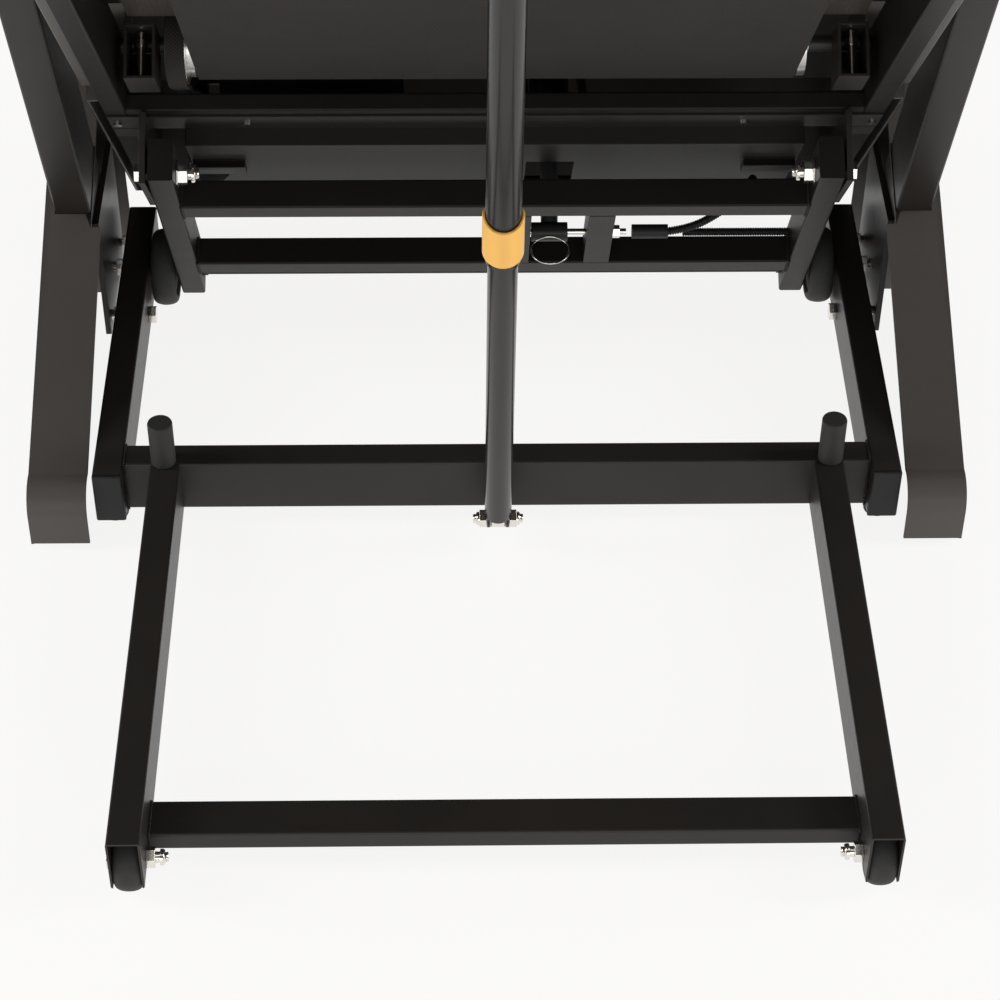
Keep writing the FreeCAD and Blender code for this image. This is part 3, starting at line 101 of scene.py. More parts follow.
class TREADMILL_PG_finish(bpy.types.PropertyGroup):
    """Colours of the main finishes."""

    steel: FloatVectorProperty(name="Steel", description="Powder coat of the frame", subtype="COLOR",
                               size=3, min=0, max=1, default=(0.0230, 0.0198, 0.0175))
    covers: FloatVectorProperty(name="Covers", description="Moulded covers", subtype="COLOR",
                                size=3, min=0, max=1, default=(0.088, 0.079, 0.072))
    pan: FloatVectorProperty(name="Pan", description="Pan below the motor", subtype="COLOR",
                             size=3, min=0, max=1, default=(0.022, 0.0195, 0.018))
    belt: FloatVectorProperty(name="Belt", description="Underside of the running belt", subtype="COLOR",
                              size=3, min=0, max=1, default=(0.030, 0.0265, 0.024))
    collar: FloatVectorProperty(name="Collar", description="Latch collar of the gas spring", subtype="COLOR",
                                size=3, min=0, max=1, default=(1.0, 0.53, 0.105))
    floor: FloatVectorProperty(name="Floor", description="Studio floor", subtype="COLOR",
                               size=3, min=0, max=1, default=(0.95, 0.945, 0.94))


class TREADMILL_PG_sizes(bpy.types.PropertyGroup):
    """Sizes of the small parts."""

    edge: FloatProperty(name="Moulded edge", description="Rounding of moulded edges", subtype="DISTANCE",
                        unit="LENGTH", min=0, default=0.0018)
    plate_edge: FloatProperty(name="Plate edge", description="Rounding of cut steel edges",
                              subtype="DISTANCE", unit="LENGTH", min=0, default=0.0006)
    bead: FloatProperty(name="Weld bead", description="Radius of a weld bead", subtype="DISTANCE",
                        unit="LENGTH", min=0.0005, default=0.0017)
    bead_step: FloatProperty(name="Weld step", description="Distance between weld ripples",
                             subtype="DISTANCE", unit="LENGTH", min=0.0005, default=0.0019)
    weave: FloatProperty(name="Belt weave", description="Pitch of the belt's weave", subtype="DISTANCE",
                         unit="LENGTH", min=0.0005, default=0.0042)
    conduit_step: FloatProperty(name="Conduit pitch", description="Distance between the conduit's ribs",
                                subtype="DISTANCE", unit="LENGTH", min=0.001, default=0.0026)
    scoop: FloatProperty(name="Collar scoop", description="Depth of the scoop in the collar's rim",
                         subtype="DISTANCE", unit="LENGTH", min=0, default=0.005)
    droop: FloatProperty(name="Collar droop", description="How far the collar's lower rim hangs at the front",
                         subtype="DISTANCE", unit="LENGTH", min=0, default=0.003)
    seed: IntProperty(name="Seed", description="Seed of the weld ripples", default=7)


# ---------------------------------------------------------------- shader arithmetic

class Field:
    """A shader socket that can be used in plain arithmetic."""

    def __init__(self, work, socket):
        self.work = work
        self.socket = socket

    def combine(self, operation, other, swapped=False):
        pair = (other, self) if swapped else (self, other)
        return self.work.add("ShaderNodeMath", {"operation": operation}, {0: pair[0], 1: pair[1]})

    def __add__(self, other):
        return self.combine("ADD", other)

    def __radd__(self, other):
        return self.combine("ADD", other, True)

    def __sub__(self, other):
        return self.combine("SUBTRACT", other)

    def __rsub__(self, other):
        return self.combine("SUBTRACT", other, True)

    def __mul__(self, other):
        return self.combine("MULTIPLY", other)

    def __rmul__(self, other):
        return self.combine("MULTIPLY", other, True)

    def __truediv__(self, other):
        return self.combine("DIVIDE", other)

    def wave(self):
        return self.work.add("ShaderNodeMath", {"operation": "SINE"}, {0: self})

    def above(self, limit):
        return self.combine("GREATER_THAN", limit)


class Work:
    """One material and the nodes that make it."""

    def __init__(self, name):
        self.material = bpy.data.materials.new(name)
        self.material.use_nodes = True
        self.tree = self.material.node_tree
        self.shader = next(n for n in self.tree.nodes if n.type == "BSDF_PRINCIPLED")
        self.place = self.add("ShaderNodeTexCoord", {}, {}, "Object")

    def feed(self, socket, value):
        """Link a field into a socket, or set its plain value."""
        if isinstance(value, Field):
            self.tree.links.new(value.socket, socket)
        else:
            socket.default_value = value

    def add(self, kind, settings, sockets, output=0):
        """A node of a type, with its settings, then its sockets; returns one output as a field."""
        node = self.tree.nodes.new(kind)
        for name, value in settings.items():
            setattr(node, name, value)
        for key, value in sockets.items():
            self.feed(node.inputs[key], value)
        return Field(self, node.outputs[output])

    def noise(self, scale, detail=2.0, roughness=0.5):
        return self.add("ShaderNodeTexNoise", {}, {"Vector": self.place, "Scale": scale, "Detail": detail,
                                                   "Roughness": roughness}, "Fac")

    def measure(self, direction):
        """How far a point lies along a direction."""
        return self.add("ShaderNodeVectorMath", {"operation": "DOT_PRODUCT"},
                        {0: self.place, 1: direction}, "Value")

    def mix(self, factor, first, second):
        """A colour between two."""
        node = self.tree.nodes.new("ShaderNodeMix")
        node.data_type = "RGBA"
        self.feed(node.inputs["Factor"], factor)
        colours = [s for s in node.inputs if s.type == "RGBA"]
        self.feed(colours[0], first)
        self.feed(colours[1], second)
        return Field(self, next(s for s in node.outputs if s.type == "RGBA"))

    def bump(self, height, depth, strength=1.0):
        """A normal from a height field; depth is in metres."""
        return self.add("ShaderNodeBump", {},
                        {"Height": height, "Distance": depth, "Strength": strength}, "Normal")

    def finish(self, **sockets):
        """Set the shader's own sockets and return the material."""
        for name, value in sockets.items():
            self.feed(self.shader.inputs[name.replace("_", " ").title().replace("Ior", "IOR")], value)
        return self.material


def shade(colour, factor=1.0):
    """An opaque colour, lighter or darker by a factor."""
    return tuple(min(1.0, c * factor) for c in colour) + (1.0,)


def powder_coat(name, colour, roughness, depth=0.00006, gloss=0.28):
    """Satin powder coat: orange peel, faint blotches and rubbed patches."""
    work = Work(name)
    peel = work.noise(520.0, 3.0)
    blotch = work.noise(9.0, 4.0, 0.6)
    rub = work.noise(60.0, 5.0, 0.7)
    tint = work.mix(blotch, shade(colour, 0.75), shade(colour, 1.35))
    return work.finish(base_color=tint, roughness=roughness - 0.05 + 0.1 * rub, specular_ior_level=gloss,
                       normal=work.bump(peel, depth, 0.55))


def moulded(name, colour, roughness, grain=900.0, depth=0.00008, gloss=0.3):
    """Moulded plastic with a spark-eroded grain."""
    work = Work(name)
    spark = work.noise(grain, 4.0, 0.65)
    cloud = work.noise(6.0, 3.0)
    tint = work.mix(cloud * 0.6 + spark * 0.3, shade(colour, 0.82), shade(colour, 1.22))
    return work.finish(base_color=tint, roughness=roughness + 0.12 * (spark - 0.5), specular_ior_level=gloss,
                       normal=work.bump(spark, depth, 0.6))


def plated(name, colour, roughness):
    """Bright plating with light haze."""
    work = Work(name)
    haze = work.noise(140.0, 4.0, 0.6)
    tint = work.mix(haze, shade(colour, 0.9), shade(colour, 1.08))
    return work.finish(base_color=tint, metallic=1.0, roughness=roughness + 0.14 * haze,
                       normal=work.bump(haze, 0.00002, 0.4))


def anodised(name, colour):
    """Satin orange-gold metal with brushing round the collar."""
    work = Work(name)
    grain = work.noise(700.0, 2.0)
    cloud = work.noise(30.0, 3.0)
    tint = work.mix(cloud, shade(colour, 0.93), shade(colour, 1.05))
    return work.finish(base_color=tint, roughness=0.34 + 0.12 * grain, coat_weight=0.15,
                       normal=work.bump(grain, 0.00002, 0.5))


def rubber(name, colour, grain=300.0):
    """Matte rubber with a dusty bloom."""
    work = Work(name)
    grit = work.noise(grain, 5.0, 0.7)
    bloom = work.noise(25.0, 4.0, 0.6)
    tint = work.mix(bloom, shade(colour, 0.8), shade(colour, 1.6))
    return work.finish(base_color=tint, roughness=0.62 + 0.2 * grit, normal=work.bump(grit, 0.0002, 0.6))


def woven(name, colour, pitch):
    """Belt cloth: two crossing sets of threads in the deck's own directions."""
    work = Work(name)
    turn = 2 * math.pi / pitch
    along = work.measure(DECK_ALONG + DECK_OUT)
    across = work.measure(ACROSS)
    first = (along * turn + across * turn).wave()
    second = (along * turn - across * turn).wave()
    thread = 0.5 + 0.25 * (first + second)
    fuzz = work.noise(1500.0, 2.0)
    dust = work.noise(14.0, 4.0, 0.65)
    tint = work.mix(0.75 * thread + 0.25 * dust, shade(colour, 0.45), shade(colour, 1.55))
    return work.finish(base_color=tint, roughness=0.66 + 0.18 * fuzz, specular_ior_level=0.12,
                       normal=work.bump(0.8 * thread + 0.2 * fuzz, 0.0004, 0.8))


def turned_steel(name, colour, roughness, bright=(0.0, 1.0)):
    """Bare turned steel with fine rings, and blackened outside a band of distance from the middle."""
    work = Work(name)
    across = work.measure(ACROSS)
    rings = (across * 9000.0).wave()
    stain = work.noise(18.0, 5.0, 0.6)
    spread = work.add("ShaderNodeMath", {"operation": "ABSOLUTE"}, {0: across})
    band = spread.above(bright[0]) * (1 - spread.above(bright[1]))
    metal = work.mix(stain, shade(colour, 0.8), shade(colour, 1.1))
    tint = work.mix(band, (0.012, 0.011, 0.010, 1), metal)
    return work.finish(base_color=tint, metallic=band,
                       roughness=0.42 - band * (0.42 - roughness) + 0.12 * stain,
                       normal=work.bump(rings, 0.00001, 0.4))


def faced_board(name, colour):
    """Phenolic film on board, its plies showing as faint streaks."""
    work = Work(name)
    streak = work.add("ShaderNodeTexWave", {"bands_direction": "X"},
                      {"Vector": work.place, "Scale": 60.0, "Distortion": 6.0, "Detail": 3.0}, "Fac")
    fleck = work.noise(220.0, 4.0)
    tint = work.mix(0.5 * streak + 0.5 * fleck, shade(colour, 0.7), shade(colour, 1.3))
    return work.finish(base_color=tint, roughness=0.38 + 0.2 * fleck, normal=work.bump(fleck, 0.00005, 0.5))


def dark_window(name):
    """Smoked display window with faint smears."""
    work = Work(name)
    smear = work.noise(22.0, 5.0, 0.7)
    return work.finish(base_color=work.mix(smear, (0.004, 0.005, 0.006, 1), (0.012, 0.013, 0.015, 1)),
                       roughness=0.05 + 0.1 * smear, coat_weight=0.6)


FINISH_NODES = {
    "steel": "runner_left runner_right side_tube_left side_tube_right middle_tube rear_tube front_tube "
             "spring_lug upright_left upright_right console_beam handrails",
    # painted shade: the lift frame and the deck frame wear a darker, less glossy copy of the frame's black
    # powder coat, standing for the shade they sit in
    "painted_shade_steel": "lift_arms lift_bars deck_rail_left deck_rail_right deck_cross_tubes",
    "gloss": "spring_lower_tube spring_upper_tube",
    "machine": "drive_motor actuator_body actuator_rod",
    "turned": "front_roller rear_roller",
    "chrome": "clevis_pin pan_screws cushion_bolts",
    "belt": "running_belt drive_belt",
    "board": "running_board",
    "window": "console_screen",
    "foam": "handrail_grips",
    "plug": "sensor_plug",
}


def make_materials(finish, sizes):
    """Every finish of the machine, by name."""
    return {
        "steel": powder_coat("satin_black_steel", finish.steel, 0.40),
        # painted shade: the frame's own powder coat at 0.55 of its colour and with lower gloss, so the lift
        # and deck frames look shaded
        "painted_shade_steel": powder_coat("satin_black_lift_painted_shade", shade(finish.steel, 0.55)[:3], 0.45, 0.00006, 0.14),
        "gloss": powder_coat("gloss_black_tube", shade(finish.steel, 0.6)[:3], 0.20, 0.00002, 0.5),
        "machine": powder_coat("motor_enamel", (0.020, 0.020, 0.021), 0.42),
        "turned": turned_steel("turned_steel", (0.62, 0.60, 0.57), 0.22, (0.2925, 0.3045)),
        "chrome": plated("bright_plating", (0.80, 0.77, 0.72), 0.10),
        "cover": moulded("cover_plastic", finish.covers, 0.50),
        "pan": moulded("pan_plastic", finish.pan, 0.42, 500.0, 0.00008, 0.14),
        "black": moulded("black_plastic", (0.012, 0.012, 0.012), 0.48),
        "plug": moulded("plug_shell", (0.020, 0.019, 0.019), 0.52),
        "belt": woven("belt_weave", finish.belt, sizes.weave),
        "board": faced_board("faced_board", (0.050, 0.040, 0.032)),
        "window": dark_window("smoked_window"),
        "foam": rubber("grip_foam", (0.018, 0.018, 0.018), 700.0),
        "rubber": rubber("black_rubber", (0.020, 0.019, 0.018)),
        "collar": anodised("orange_gold", finish.collar),
        "go": moulded("start_green", (0.02, 0.22, 0.06), 0.35),
        "stop": moulded("stop_red", (0.42, 0.015, 0.012), 0.35),
    }


MATERIAL_NAMES = {}         # finish to material, filled by the first operator


def paint(name):
    """A finish that the first operator has made."""
    return bpy.data.materials[MATERIAL_NAMES[name]]



# ---------------------------------------------------------------- mesh helpers

def settle(name, mesh, material, body, replaced=(), angle=35.0):
    """Make a finished piece of a mesh: its shading, its material and its body, and hide the parts it
    replaces.
    """
    piece = bpy.data.objects.new(name, mesh)
    bpy.context.scene.collection.objects.link(piece)
    if not mesh.materials:
        mesh.materials.append(material)
    mesh.shade_smooth()
    mesh.set_sharp_from_angle(angle=math.radians(angle))
    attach(piece, body)
    if replaced:
        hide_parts(*replaced)
        entry = next(s for s in frame["record"]["subparts"] if s["node"] == replaced[0])
    return piece


def mesh_from(bm, name):
    """Turn a bmesh into a mesh with outward faces."""
    bmesh.ops.recalc_face_normals(bm, faces=bm.faces)
    mesh = bpy.data.meshes.new(name)
    bm.to_mesh(mesh)
    bm.free()
    return mesh


def clean_copy(node):
    """A bmesh of a node: doubles merged and flat faces joined."""
    bm = bmesh.new()
    bm.from_mesh(frame["nodes"][node].data)
    bmesh.ops.remove_doubles(bm, verts=bm.verts, dist=0.00002)
    bmesh.ops.dissolve_limit(bm, angle_limit=math.radians(1.0), verts=bm.verts, edges=bm.edges)
    return bm


def soften(node, material, width, segments=2):
    """A copy of a node with its sharp edges rounded, in the node's place."""
    mesh = mesh_from(clean_copy(node), node + "_soft")
    piece = settle(node + "_soft", mesh, material, NODE_BODY[node], (node,))
    bevel = piece.modifiers.new("round", "BEVEL")
    bevel.width = width
    bevel.segments = segments
    bevel.limit_method = "ANGLE"
    bevel.angle_limit = math.radians(40)
    bevel.use_clamp_overlap = True
    bevel.harden_normals = True
    return piece


def lathe(bm, profile, place, steps=48):
    """Turn a closed profile of (radius, height) points about local Z and put it in place."""
    rings = []
    for radius, height in profile:
        rings.append([bm.verts.new(place @ Vector((radius * math.cos(a), radius * math.sin(a), height)))
                      for a in (2 * math.pi * k / steps for k in range(steps))])
    for k, ring in enumerate(rings):
        nearby = rings[(k + 1) % len(rings)]
        for j in range(steps):
            bm.faces.new((ring[j], ring[(j + 1) % steps], nearby[(j + 1) % steps], nearby[j]))


def along(direction, base):
    """A place whose local Z lies along a direction."""
    return Matrix.Translation(base) @ direction.to_track_quat("Z", "Y").to_matrix().to_4x4()


def arc(centre, radius, first, last, steps):
    """Points of a circular arc in a profile, by angles in degrees."""
    angles = [math.radians(first + (last - first) * k / steps) for k in range(steps + 1)]
    return [(centre[0] + radius * math.cos(a), centre[1] + radius * math.sin(a)) for a in angles]


def threaded(bm, place, radius, length, pitch=THREAD_PITCH):
    """A bolt's end: a shank whose thread crests are rings, with a chamfered tip."""
    profile = [(AXIS_GAP, 0.0)]
    count = max(1, int(length / pitch))
    for k in range(count):
        profile += [(radius * 0.90, k * length / count), (radius, (k + 0.5) * length / count)]
    profile += [(radius * 0.82, length), (AXIS_GAP, length)]
    lathe(bm, profile, place, 24)


# ---------------------------------------------------------------- node trees for what repeats

def string_tree():
    """Instances of one part strung along a curve: the part, its step, its size spread and a seed."""
    tree = bpy.data.node_groups.new("string_along", "GeometryNodeTree")
    face = tree.interface
    face.new_socket("Geometry", in_out="INPUT", socket_type="NodeSocketGeometry")
    face.new_socket("Part", in_out="INPUT", socket_type="NodeSocketObject")
    for name in ("Step", "Smallest", "Largest"):
        face.new_socket(name, in_out="INPUT", socket_type="NodeSocketFloat")
    face.new_socket("Seed", in_out="INPUT", socket_type="NodeSocketInt")
    face.new_socket("Material", in_out="INPUT", socket_type="NodeSocketMaterial")
    face.new_socket("Geometry", in_out="OUTPUT", socket_type="NodeSocketGeometry")
    new, link = tree.nodes.new, tree.links.new
    entry, leave = new("NodeGroupInput"), new("NodeGroupOutput")
    resample = new("GeometryNodeResampleCurve")
    resample.mode = "LENGTH"
    info, tangent = new("GeometryNodeObjectInfo"), new("GeometryNodeInputTangent")
    turn = new("FunctionNodeAlignRotationToVector")
    turn.axis = "Z"
    spread = new("FunctionNodeRandomValue")
    spread.data_type = "FLOAT"
    place, realise, dress = (new("GeometryNodeInstanceOnPoints"), new("GeometryNodeRealizeInstances"),
                             new("GeometryNodeSetMaterial"))
    floats = [s for s in spread.inputs if s.type == "VALUE"]
    link(entry.outputs["Geometry"], resample.inputs["Curve"])
    link(entry.outputs["Step"], resample.inputs["Length"])
    link(entry.outputs["Part"], info.inputs["Object"])
    link(tangent.outputs["Tangent"], turn.inputs["Vector"])
    link(entry.outputs["Smallest"], floats[0])
    link(entry.outputs["Largest"], floats[1])
    link(entry.outputs["Seed"], spread.inputs["Seed"])
    link(resample.outputs["Curve"], place.inputs["Points"])
    link(info.outputs["Geometry"], place.inputs["Instance"])
    link(turn.outputs["Rotation"], place.inputs["Rotation"])
    link(next(s for s in spread.outputs if s.type == "VALUE"), place.inputs["Scale"])
    link(place.outputs["Instances"], realise.inputs["Geometry"])
    link(realise.outputs["Geometry"], dress.inputs["Geometry"])
    link(entry.outputs["Material"], dress.inputs["Material"])
    link(dress.outputs["Geometry"], leave.inputs["Geometry"])
    return tree


def string_part(name, routes, part_mesh, step, spread, material, seed=0, closed=False, order=2):
    """The mesh of one part strung along each route of points."""
    tree = bpy.data.node_groups.get("string_along") or string_tree()
    part = bpy.data.objects.new(name + "_part", part_mesh)
    bpy.context.scene.collection.objects.link(part)
    curve = bpy.data.curves.new(name + "_route", "CURVE")
    curve.dimensions = "3D"
    for route in routes:
        spline = curve.splines.new("NURBS" if order > 2 else "POLY")
        spline.points.add(len(route) - 1)
        for point, spot in zip(spline.points, route):
            point.co = (*spot, 1.0)
        spline.use_cyclic_u = closed
        if order > 2:
            spline.order_u = order
            spline.use_endpoint_u = True
            spline.resolution_u = 16
    carrier = bpy.data.objects.new(name + "_carrier", curve)
    bpy.context.scene.collection.objects.link(carrier)
    modifier = carrier.modifiers.new("string", "NODES")
    modifier.node_group = tree
    values = {"Part": part, "Step": step, "Smallest": spread[0], "Largest": spread[1], "Seed": seed,
              "Material": material}
    for item in tree.interface.items_tree:
        if item.in_out == "INPUT" and item.name in values:
            modifier[item.identifier] = values[item.name]
    bpy.context.view_layer.update()
    shown = carrier.evaluated_get(bpy.context.evaluated_depsgraph_get())
    mesh = bpy.data.meshes.new_from_object(shown)
    mesh.name = name
    bpy.data.objects.remove(carrier)
    bpy.data.objects.remove(part)
    return mesh


def ball_mesh(radius, flat=0.75):
    """A small squashed ball, one ripple of a weld."""
    bm = bmesh.new()
    bmesh.ops.create_icosphere(bm, subdivisions=1, radius=radius)
    bmesh.ops.scale(bm, vec=(1, 1, flat), verts=bm.verts)
    return mesh_from(bm, "ripple")


def ring_mesh(radius, wire, steps=20):
    """A small ring about Z."""
    bm = bmesh.new()
    lathe(bm, arc((radius, 0), wire, 0, 300, 5), Matrix.Identity(4), steps)
    return mesh_from(bm, "ring")


def in_lift(x, outward, reach):
    """A point by its offset across, out of the lift frame and along it from the fold axis."""
    return FOLD + ACROSS * x + LIFT_OUT * outward + LIFT_ALONG * reach


# ---------------------------------------------------------------- operators

class TREADMILL_OT_finishes(bpy.types.Operator):
    """Make the finishes and dress the parts whose CAD shape shows."""

    bl_idname = "treadmill.finishes"
    bl_label = "Finishes"

    def execute(self, context):
        scene = context.scene
        for name, material in make_materials(scene.treadmill_finish, scene.treadmill_sizes).items():
            MATERIAL_NAMES[name] = material.name
        for finish, nodes in FINISH_NODES.items():
            for node in nodes.split():
                shown = frame["nodes"][node]
                shown.data.materials.clear()
                shown.data.materials.append(paint(finish))
        return {"FINISHED"}


class TREADMILL_OT_covers(bpy.types.Operator):
    """Round the edges of the moulded covers and of the cut plates."""

    bl_idname = "treadmill.covers"
    bl_label = "Covers and plates"

    def execute(self, context):
        sizes = context.scene.treadmill_sizes
        moulded_nodes = {"side_cover_left": "cover", "side_cover_right": "cover", "motor_hood": "cover",
                         "foot_rail_left": "cover", "foot_rail_right": "cover", "rear_legs": "cover",
                         "console_housing": "cover", "motor_pan": "pan", "power_inlet": "black",
                         "tube_caps": "black", "rubber_buffers": "rubber", "start_button": "go",
                         "stop_button": "stop", "safety_key": "stop"}
        for node, finish in moulded_nodes.items():
            soften(node, paint(finish), sizes.edge)
        for node in ("upright_plates", "hinge_plates", "cushion_brackets", "pan_flange"):
            soften(node, paint("steel"), sizes.plate_edge)
        return {"FINISHED"}


class TREADMILL_OT_collar(bpy.types.Operator):
    """The orange latch collar, both of its rims curved."""

    bl_idname = "treadmill.collar"
    bl_label = "Latch collar"

    def execute(self, context):
        sizes = context.scene.treadmill_sizes
        points = [vert.co - SPRING_FOOT for vert in frame["nodes"]["latch_collar"].data.vertices]
        heights = [point.dot(SPRING_ALONG) for point in points]
        radii = [(point - SPRING_ALONG * height).length for point, height in zip(points, heights)]
        radius, wall, soft = max(radii), COLLAR_WALL, COLLAR_ROUND
        length = max(heights) - min(heights)
        place = along(SPRING_ALONG, SPRING_FOOT + SPRING_ALONG * min(heights))
        toward = place.to_3x3().inverted() @ Vector((0, -1, 0))
        front = math.atan2(toward.y, toward.x)
        bm = bmesh.new()
        steps = 96
        columns = []
        for k in range(steps):
            a = 2 * math.pi * k / steps
            share = abs(math.cos(a - front)) ** SCOOP_SHARPNESS
            top, foot = length - sizes.scoop * share, sizes.droop * (1 - share)
            outline = [(radius - wall, foot), (radius - soft, foot), (radius, foot + soft),
                       (radius, top - soft), (radius - soft, top), (radius - wall, top)]
            columns.append([bm.verts.new(place @ Vector((r * math.cos(a), r * math.sin(a), z)))
                            for r, z in outline])
        for k, column in enumerate(columns):
            nearby = columns[(k + 1) % steps]
            for j in range(len(column)):
                nxt = (j + 1) % len(column)
                bm.faces.new((column[j], nearby[j], nearby[nxt], column[nxt]))
        settle("collar_sleeve", mesh_from(bm, "collar_sleeve"), paint("collar"), "latch_collar",
               ("latch_collar",))
        return {"FINISHED"}


class TREADMILL_OT_fasteners(bpy.types.Operator):
    """Rounded bolts, a lock collar and thread end on each, and the gas spring's lower eye."""

    bl_idname = "treadmill.fasteners"
    bl_label = "Fasteners"

    def execute(self, context):
        ends = {"deck_bolts": (DECK_BOLT, ((-1, 1), (1, 1)), 0.0092, 0.006),
                "spring_lower_bolt": (SPRING_FOOT, ((1, 0), (-1, 0)), 0.0068, 0.005)}
        for side in (-1, 1):
            wheel = Vector(JOINTS["rear_wheel_spin_" + ("right" if side > 0 else "left")]["pos_m"])
            ends["base_bolts" + str(side)] = (wheel, ((side, 1),), 0.0074, 0.005)
        for node in ("base_bolts", "deck_bolts", "spring_lower_bolt"):
            soften(node, paint("chrome"), 0.0011, 3)
        groups = {}
        for key, (middle, faces, dome, shank) in ends.items():
            node = key.rstrip("-1")
            near = [v.co for v in frame["nodes"][node].data.vertices
                    if math.hypot(v.co.y - middle.y, v.co.z - middle.z) < BOLT_REACH]
            for side, inward in faces:
                reach = [side * v.x for v in near if side * v.x > 0]
                if not reach:
                    continue
                spot = min(reach) if inward else max(reach)
                direction = ACROSS * (-side if inward else side)
                place = along(direction, Vector((side * spot, middle.y, middle.z)) - direction * SINK)
                bm = groups.setdefault(node, bmesh.new())
                lathe(bm, [(AXIS_GAP, 0), (dome, 0)] + arc((dome - DOME_ROUND, 0.002), DOME_ROUND, 0, 80, 5)
                      + [(shank, DOME_HEIGHT), (AXIS_GAP, DOME_HEIGHT)], place)
                threaded(bm, place @ Matrix.Translation((0, 0, 0.003)), shank * 0.96, 0.0042)
        for node, bm in groups.items():
            settle(node + "_domes", mesh_from(bm, node + "_domes"), paint("chrome"), NODE_BODY[node])
        bm = bmesh.new()
        rim, edge = FOOT_RADIUS - 0.001, FOOT_HALF - 0.0012
        lathe(bm, [(FOOT_BORE, -FOOT_HALF), (rim, -FOOT_HALF), (FOOT_RADIUS + 0.0002, -edge),
                   (FOOT_RADIUS + 0.0002, edge), (rim, FOOT_HALF), (FOOT_BORE, FOOT_HALF)],
              along(ACROSS, SPRING_FOOT), 64)
        settle("spring_foot_eye", mesh_from(bm, "spring_foot_eye"), paint("chrome"), "spring_lower")
        return {"FINISHED"}


class TREADMILL_OT_wheels(bpy.types.Operator):
    """Wheels with a rounded tread, side rims and a hub."""

    bl_idname = "treadmill.wheels"
    bl_label = "Wheels"

    def execute(self, context):
        for name in ("rear_wheel_left", "rear_wheel_right", "front_wheel_left", "front_wheel_right"):
            low, high = (Vector(corner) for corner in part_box(name))
            centre = (low + high) / 2
            half = (high.x - low.x) / 2
            radius = (high.z - low.z) / 2
            bore = 0.00505 if name.startswith("rear") else 0.00605
            crown = 0.22 * 2 * half
            profile = [(bore, -half), (bore + 0.006, -half), (bore + 0.0065, -half + 0.0025),
                       (radius * 0.72, -half + 0.0035), (radius * 0.78, -half + 0.0004)]
            angles = [math.radians(TREAD_SWEEP * (2 * k / TREAD_STEPS - 1)) for k in range(TREAD_STEPS + 1)]
            profile += [(radius - crown * (1 - math.cos(a)) - 0.0006 * abs(math.sin(a)) ** 6,
                         half * math.sin(a)) for a in angles]
            profile += [(r, -h) for r, h in reversed(profile[:5])]
            bm = bmesh.new()
            lathe(bm, profile, along(ACROSS, centre), 72)
            settle(name + "_tyre", mesh_from(bm, name + "_tyre"), paint("rubber"), NODE_BODY[name], (name,))
        return {"FINISHED"}


class TREADMILL_OT_welds(bpy.types.Operator):
    """Rippled weld beads where the tubes meet."""

    bl_idname = "treadmill.welds"
    bl_label = "Welds"

    def execute(self, context):
        sizes = context.scene.treadmill_sizes
        ripple = ball_mesh(sizes.bead)

        def square(x, middle, first, second, half_first, half_second):
            """A rectangle of points in a plane of constant x."""
            base = Vector((x, middle.y, middle.z))
            return [base + first * a * half_first + second * b * half_second
                    for a, b in ((-1, -1), (1, -1), (1, 1), (-1, 1), (-1, -1))]

        routes = []
        for node in ("middle_tube", "rear_tube", "front_tube"):
            low, high = (Vector(corner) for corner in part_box(node))
            middle = (low + high) / 2
            for x in (low.x + BEAD_SINK, high.x - BEAD_SINK):
                routes.append(square(x, middle, Vector((0, 1, 0)), Vector((0, 0, 1)),
                                     (high.y - low.y) / 2, (high.z - low.z) / 2))
        mesh = string_part("frame_welds", routes, ripple, sizes.bead_step, BEAD_SPREAD, paint("steel"),
                           sizes.seed)
        settle("frame_welds", mesh, paint("steel"), "base")

        arm_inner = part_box("lift_bars")[1][0]
        routes = []
        for start in BAR_STARTS:
            for x in (-arm_inner + BEAD_SINK, arm_inner - BEAD_SINK):
                middle = in_lift(x, BAR_HALF - ARM_HALF, start + BAR_HALF)
                routes.append(square(x, middle, LIFT_ALONG, LIFT_OUT, BAR_HALF, BAR_HALF))
        mesh = string_part("lift_welds", routes, ripple, sizes.bead_step, BEAD_SPREAD, paint("steel"),
                           sizes.seed)
        settle("lift_welds", mesh, paint("steel"), "lift_frame")
        return {"FINISHED"}


class TREADMILL_OT_conduit(bpy.types.Operator):
    """Corrugated conduit beside the clevis pin and along the lower bar."""

    bl_idname = "treadmill.conduit"
    bl_label = "Conduit"

    def execute(self, context):
        sizes = context.scene.treadmill_sizes
        plug_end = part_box("sensor_plug")[1][0]
        route = [in_lift(plug_end + dx, CLEVIS_OUT + dv, CLEVIS_REACH + du) for dx, dv, du in CONDUIT_ROUTE]
        lower = [in_lift(x, LOWER_OUT, LOWER_REACH) for x in LOWER_SPANS]
        ring = ring_mesh(CONDUIT_RADIUS, CONDUIT_RIB)
        mesh = string_part("conduit_ribs", [route, lower], ring, sizes.conduit_step, (1.0, 1.0),
                           paint("black"), order=3)
        settle("conduit_ribs", mesh, paint("black"), "lift_frame", angle=70)
        core = bpy.data.curves.new("conduit_core", "CURVE")
        core.dimensions = "3D"
        core.bevel_depth = CONDUIT_RADIUS
        core.use_fill_caps = True
        for points in (route, lower):
            spline = core.splines.new("NURBS")
            spline.points.add(len(points) - 1)
            for point, spot in zip(spline.points, points):
                point.co = (*spot, 1.0)
            spline.order_u = 3
            spline.use_endpoint_u = True
        holder = bpy.data.objects.new("conduit_holder", core)
        context.scene.collection.objects.link(holder)
        context.view_layer.update()
        shown = holder.evaluated_get(context.evaluated_depsgraph_get())
        core_mesh = bpy.data.meshes.new_from_object(shown)
        bpy.data.objects.remove(holder)
        settle("conduit_core", core_mesh, paint("black"), "lift_frame", ("wire_conduit",), 70)
        return {"FINISHED"}


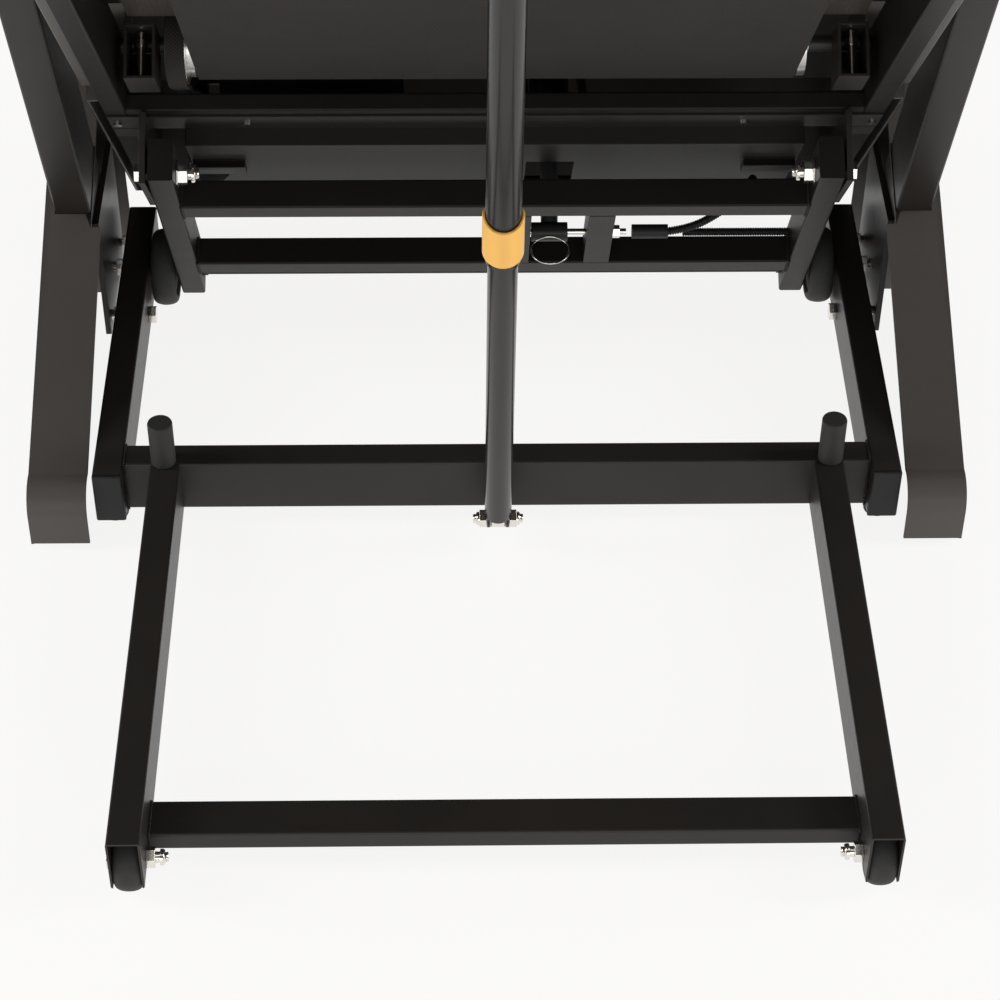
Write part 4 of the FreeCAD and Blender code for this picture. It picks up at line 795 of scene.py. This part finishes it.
class TREADMILL_OT_stage(bpy.types.Operator):
    """Floor, soft lights and the camera."""

    bl_idname = "treadmill.stage"
    bl_label = "Stage"

    def execute(self, context):
        scene = context.scene
        bm = bmesh.new()
        bmesh.ops.create_grid(bm, x_segments=1, y_segments=1, size=60)
        mesh = bpy.data.meshes.new("floor")
        bm.to_mesh(mesh)
        bm.free()
        floor = bpy.data.objects.new("floor", mesh)
        floor.location.z = -0.0005
        scene.collection.objects.link(floor)
        work = Work("studio_floor")
        colour = shade(scene.treadmill_finish.floor)
        mesh.materials.append(work.finish(base_color=shade(scene.treadmill_finish.floor, 0.12), roughness=0.9,
                                          emission_color=colour, emission_strength=0.93))

        def lamp(name, place, target, width, height, power):
            data = bpy.data.lights.new(name, "AREA")
            data.shape = "RECTANGLE"
            data.size, data.size_y, data.energy = width, height, power
            light = bpy.data.objects.new(name, data)
            light.location = place
            light.rotation_euler = (Vector(target) - Vector(place)).to_track_quat("-Z", "Y").to_euler()
            scene.collection.objects.link(light)

        lamp("front_softbox", (0.0, -3.4, 1.2), (0, 0.3, 0.3), 3.6, 1.6, 46)
        lamp("left_strip", (-3.0, 0.0, 1.5), (0, 0.1, 0.3), 0.9, 2.6, 48)
        lamp("right_strip", (3.0, 0.0, 1.5), (0, 0.1, 0.3), 0.9, 2.6, 48)
        lamp("overhead", (0.0, -0.6, 3.6), (0, 0.1, 0.3), 1.6, 1.6, 18)

        world = bpy.data.worlds.new("studio")
        world.use_nodes = True
        background = next(n for n in world.node_tree.nodes if n.type == "BACKGROUND")
        background.inputs["Color"].default_value = (0.10, 0.096, 0.092, 1)
        background.inputs["Strength"].default_value = 1.0
        scene.world = world
        scene.view_settings.view_transform = "Standard"

        camera = bpy.data.cameras.new("camera")
        camera.sensor_width = 36.0
        camera.lens = 95.22
        camera.clip_end = 60
        eye = bpy.data.objects.new("camera", camera)
        pitch, yaw, roll = (math.radians(angle) for angle in (43.09, 1.32, -0.57))
        forward = Vector((math.sin(yaw) * math.cos(pitch), math.cos(yaw) * math.cos(pitch), -math.sin(pitch)))
        level = Vector((math.cos(yaw), -math.sin(yaw), 0))
        down = forward.cross(level)
        right = level * math.cos(roll) + down * math.sin(roll)
        lower = -level * math.sin(roll) + down * math.cos(roll)
        turned = Matrix((right, -lower, -forward)).transposed().to_4x4()
        rear_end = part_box("runner_left")[0][1]
        eye.matrix_world = Matrix.Translation((-0.0425, rear_end - 1.4728, 1.8643)) @ turned
        scene.collection.objects.link(eye)
        scene.camera = eye
        return {"FINISHED"}


class TREADMILL_PT_panel(bpy.types.Panel):
    """The treadmill's sizes, colours and steps."""

    bl_idname = "TREADMILL_PT_panel"
    bl_label = "Treadmill"
    bl_space_type = "VIEW_3D"
    bl_region_type = "UI"
    bl_category = "Treadmill"

    def draw(self, context):
        for group in (context.scene.treadmill_finish, context.scene.treadmill_sizes):
            box = self.layout.box()
            for name in group.__annotations__:
                box.prop(group, name)
        for operator in OPERATORS:
            self.layout.operator(operator.bl_idname)


OPERATORS = (TREADMILL_OT_finishes, TREADMILL_OT_covers, TREADMILL_OT_collar, TREADMILL_OT_fasteners,
             TREADMILL_OT_wheels, TREADMILL_OT_welds, TREADMILL_OT_conduit, TREADMILL_OT_stage)
CLASSES = (TREADMILL_PG_finish, TREADMILL_PG_sizes, *OPERATORS, TREADMILL_PT_panel)


def register():
    """Register the classes and hang their settings on the scene."""
    for cls in CLASSES:
        bpy.utils.register_class(cls)
    bpy.types.Scene.treadmill_finish = PointerProperty(type=TREADMILL_PG_finish)
    bpy.types.Scene.treadmill_sizes = PointerProperty(type=TREADMILL_PG_sizes)


def unregister():
    """Take the settings and the classes away."""
    del bpy.types.Scene.treadmill_sizes
    del bpy.types.Scene.treadmill_finish
    for cls in reversed(CLASSES):
        bpy.utils.unregister_class(cls)


def main():
    """Build every piece and the stage."""
    register()
    for operator in OPERATORS:
        family, step = operator.bl_idname.split(".")
        getattr(getattr(bpy.ops, family), step)()


if __name__ == "__main__":
    main()
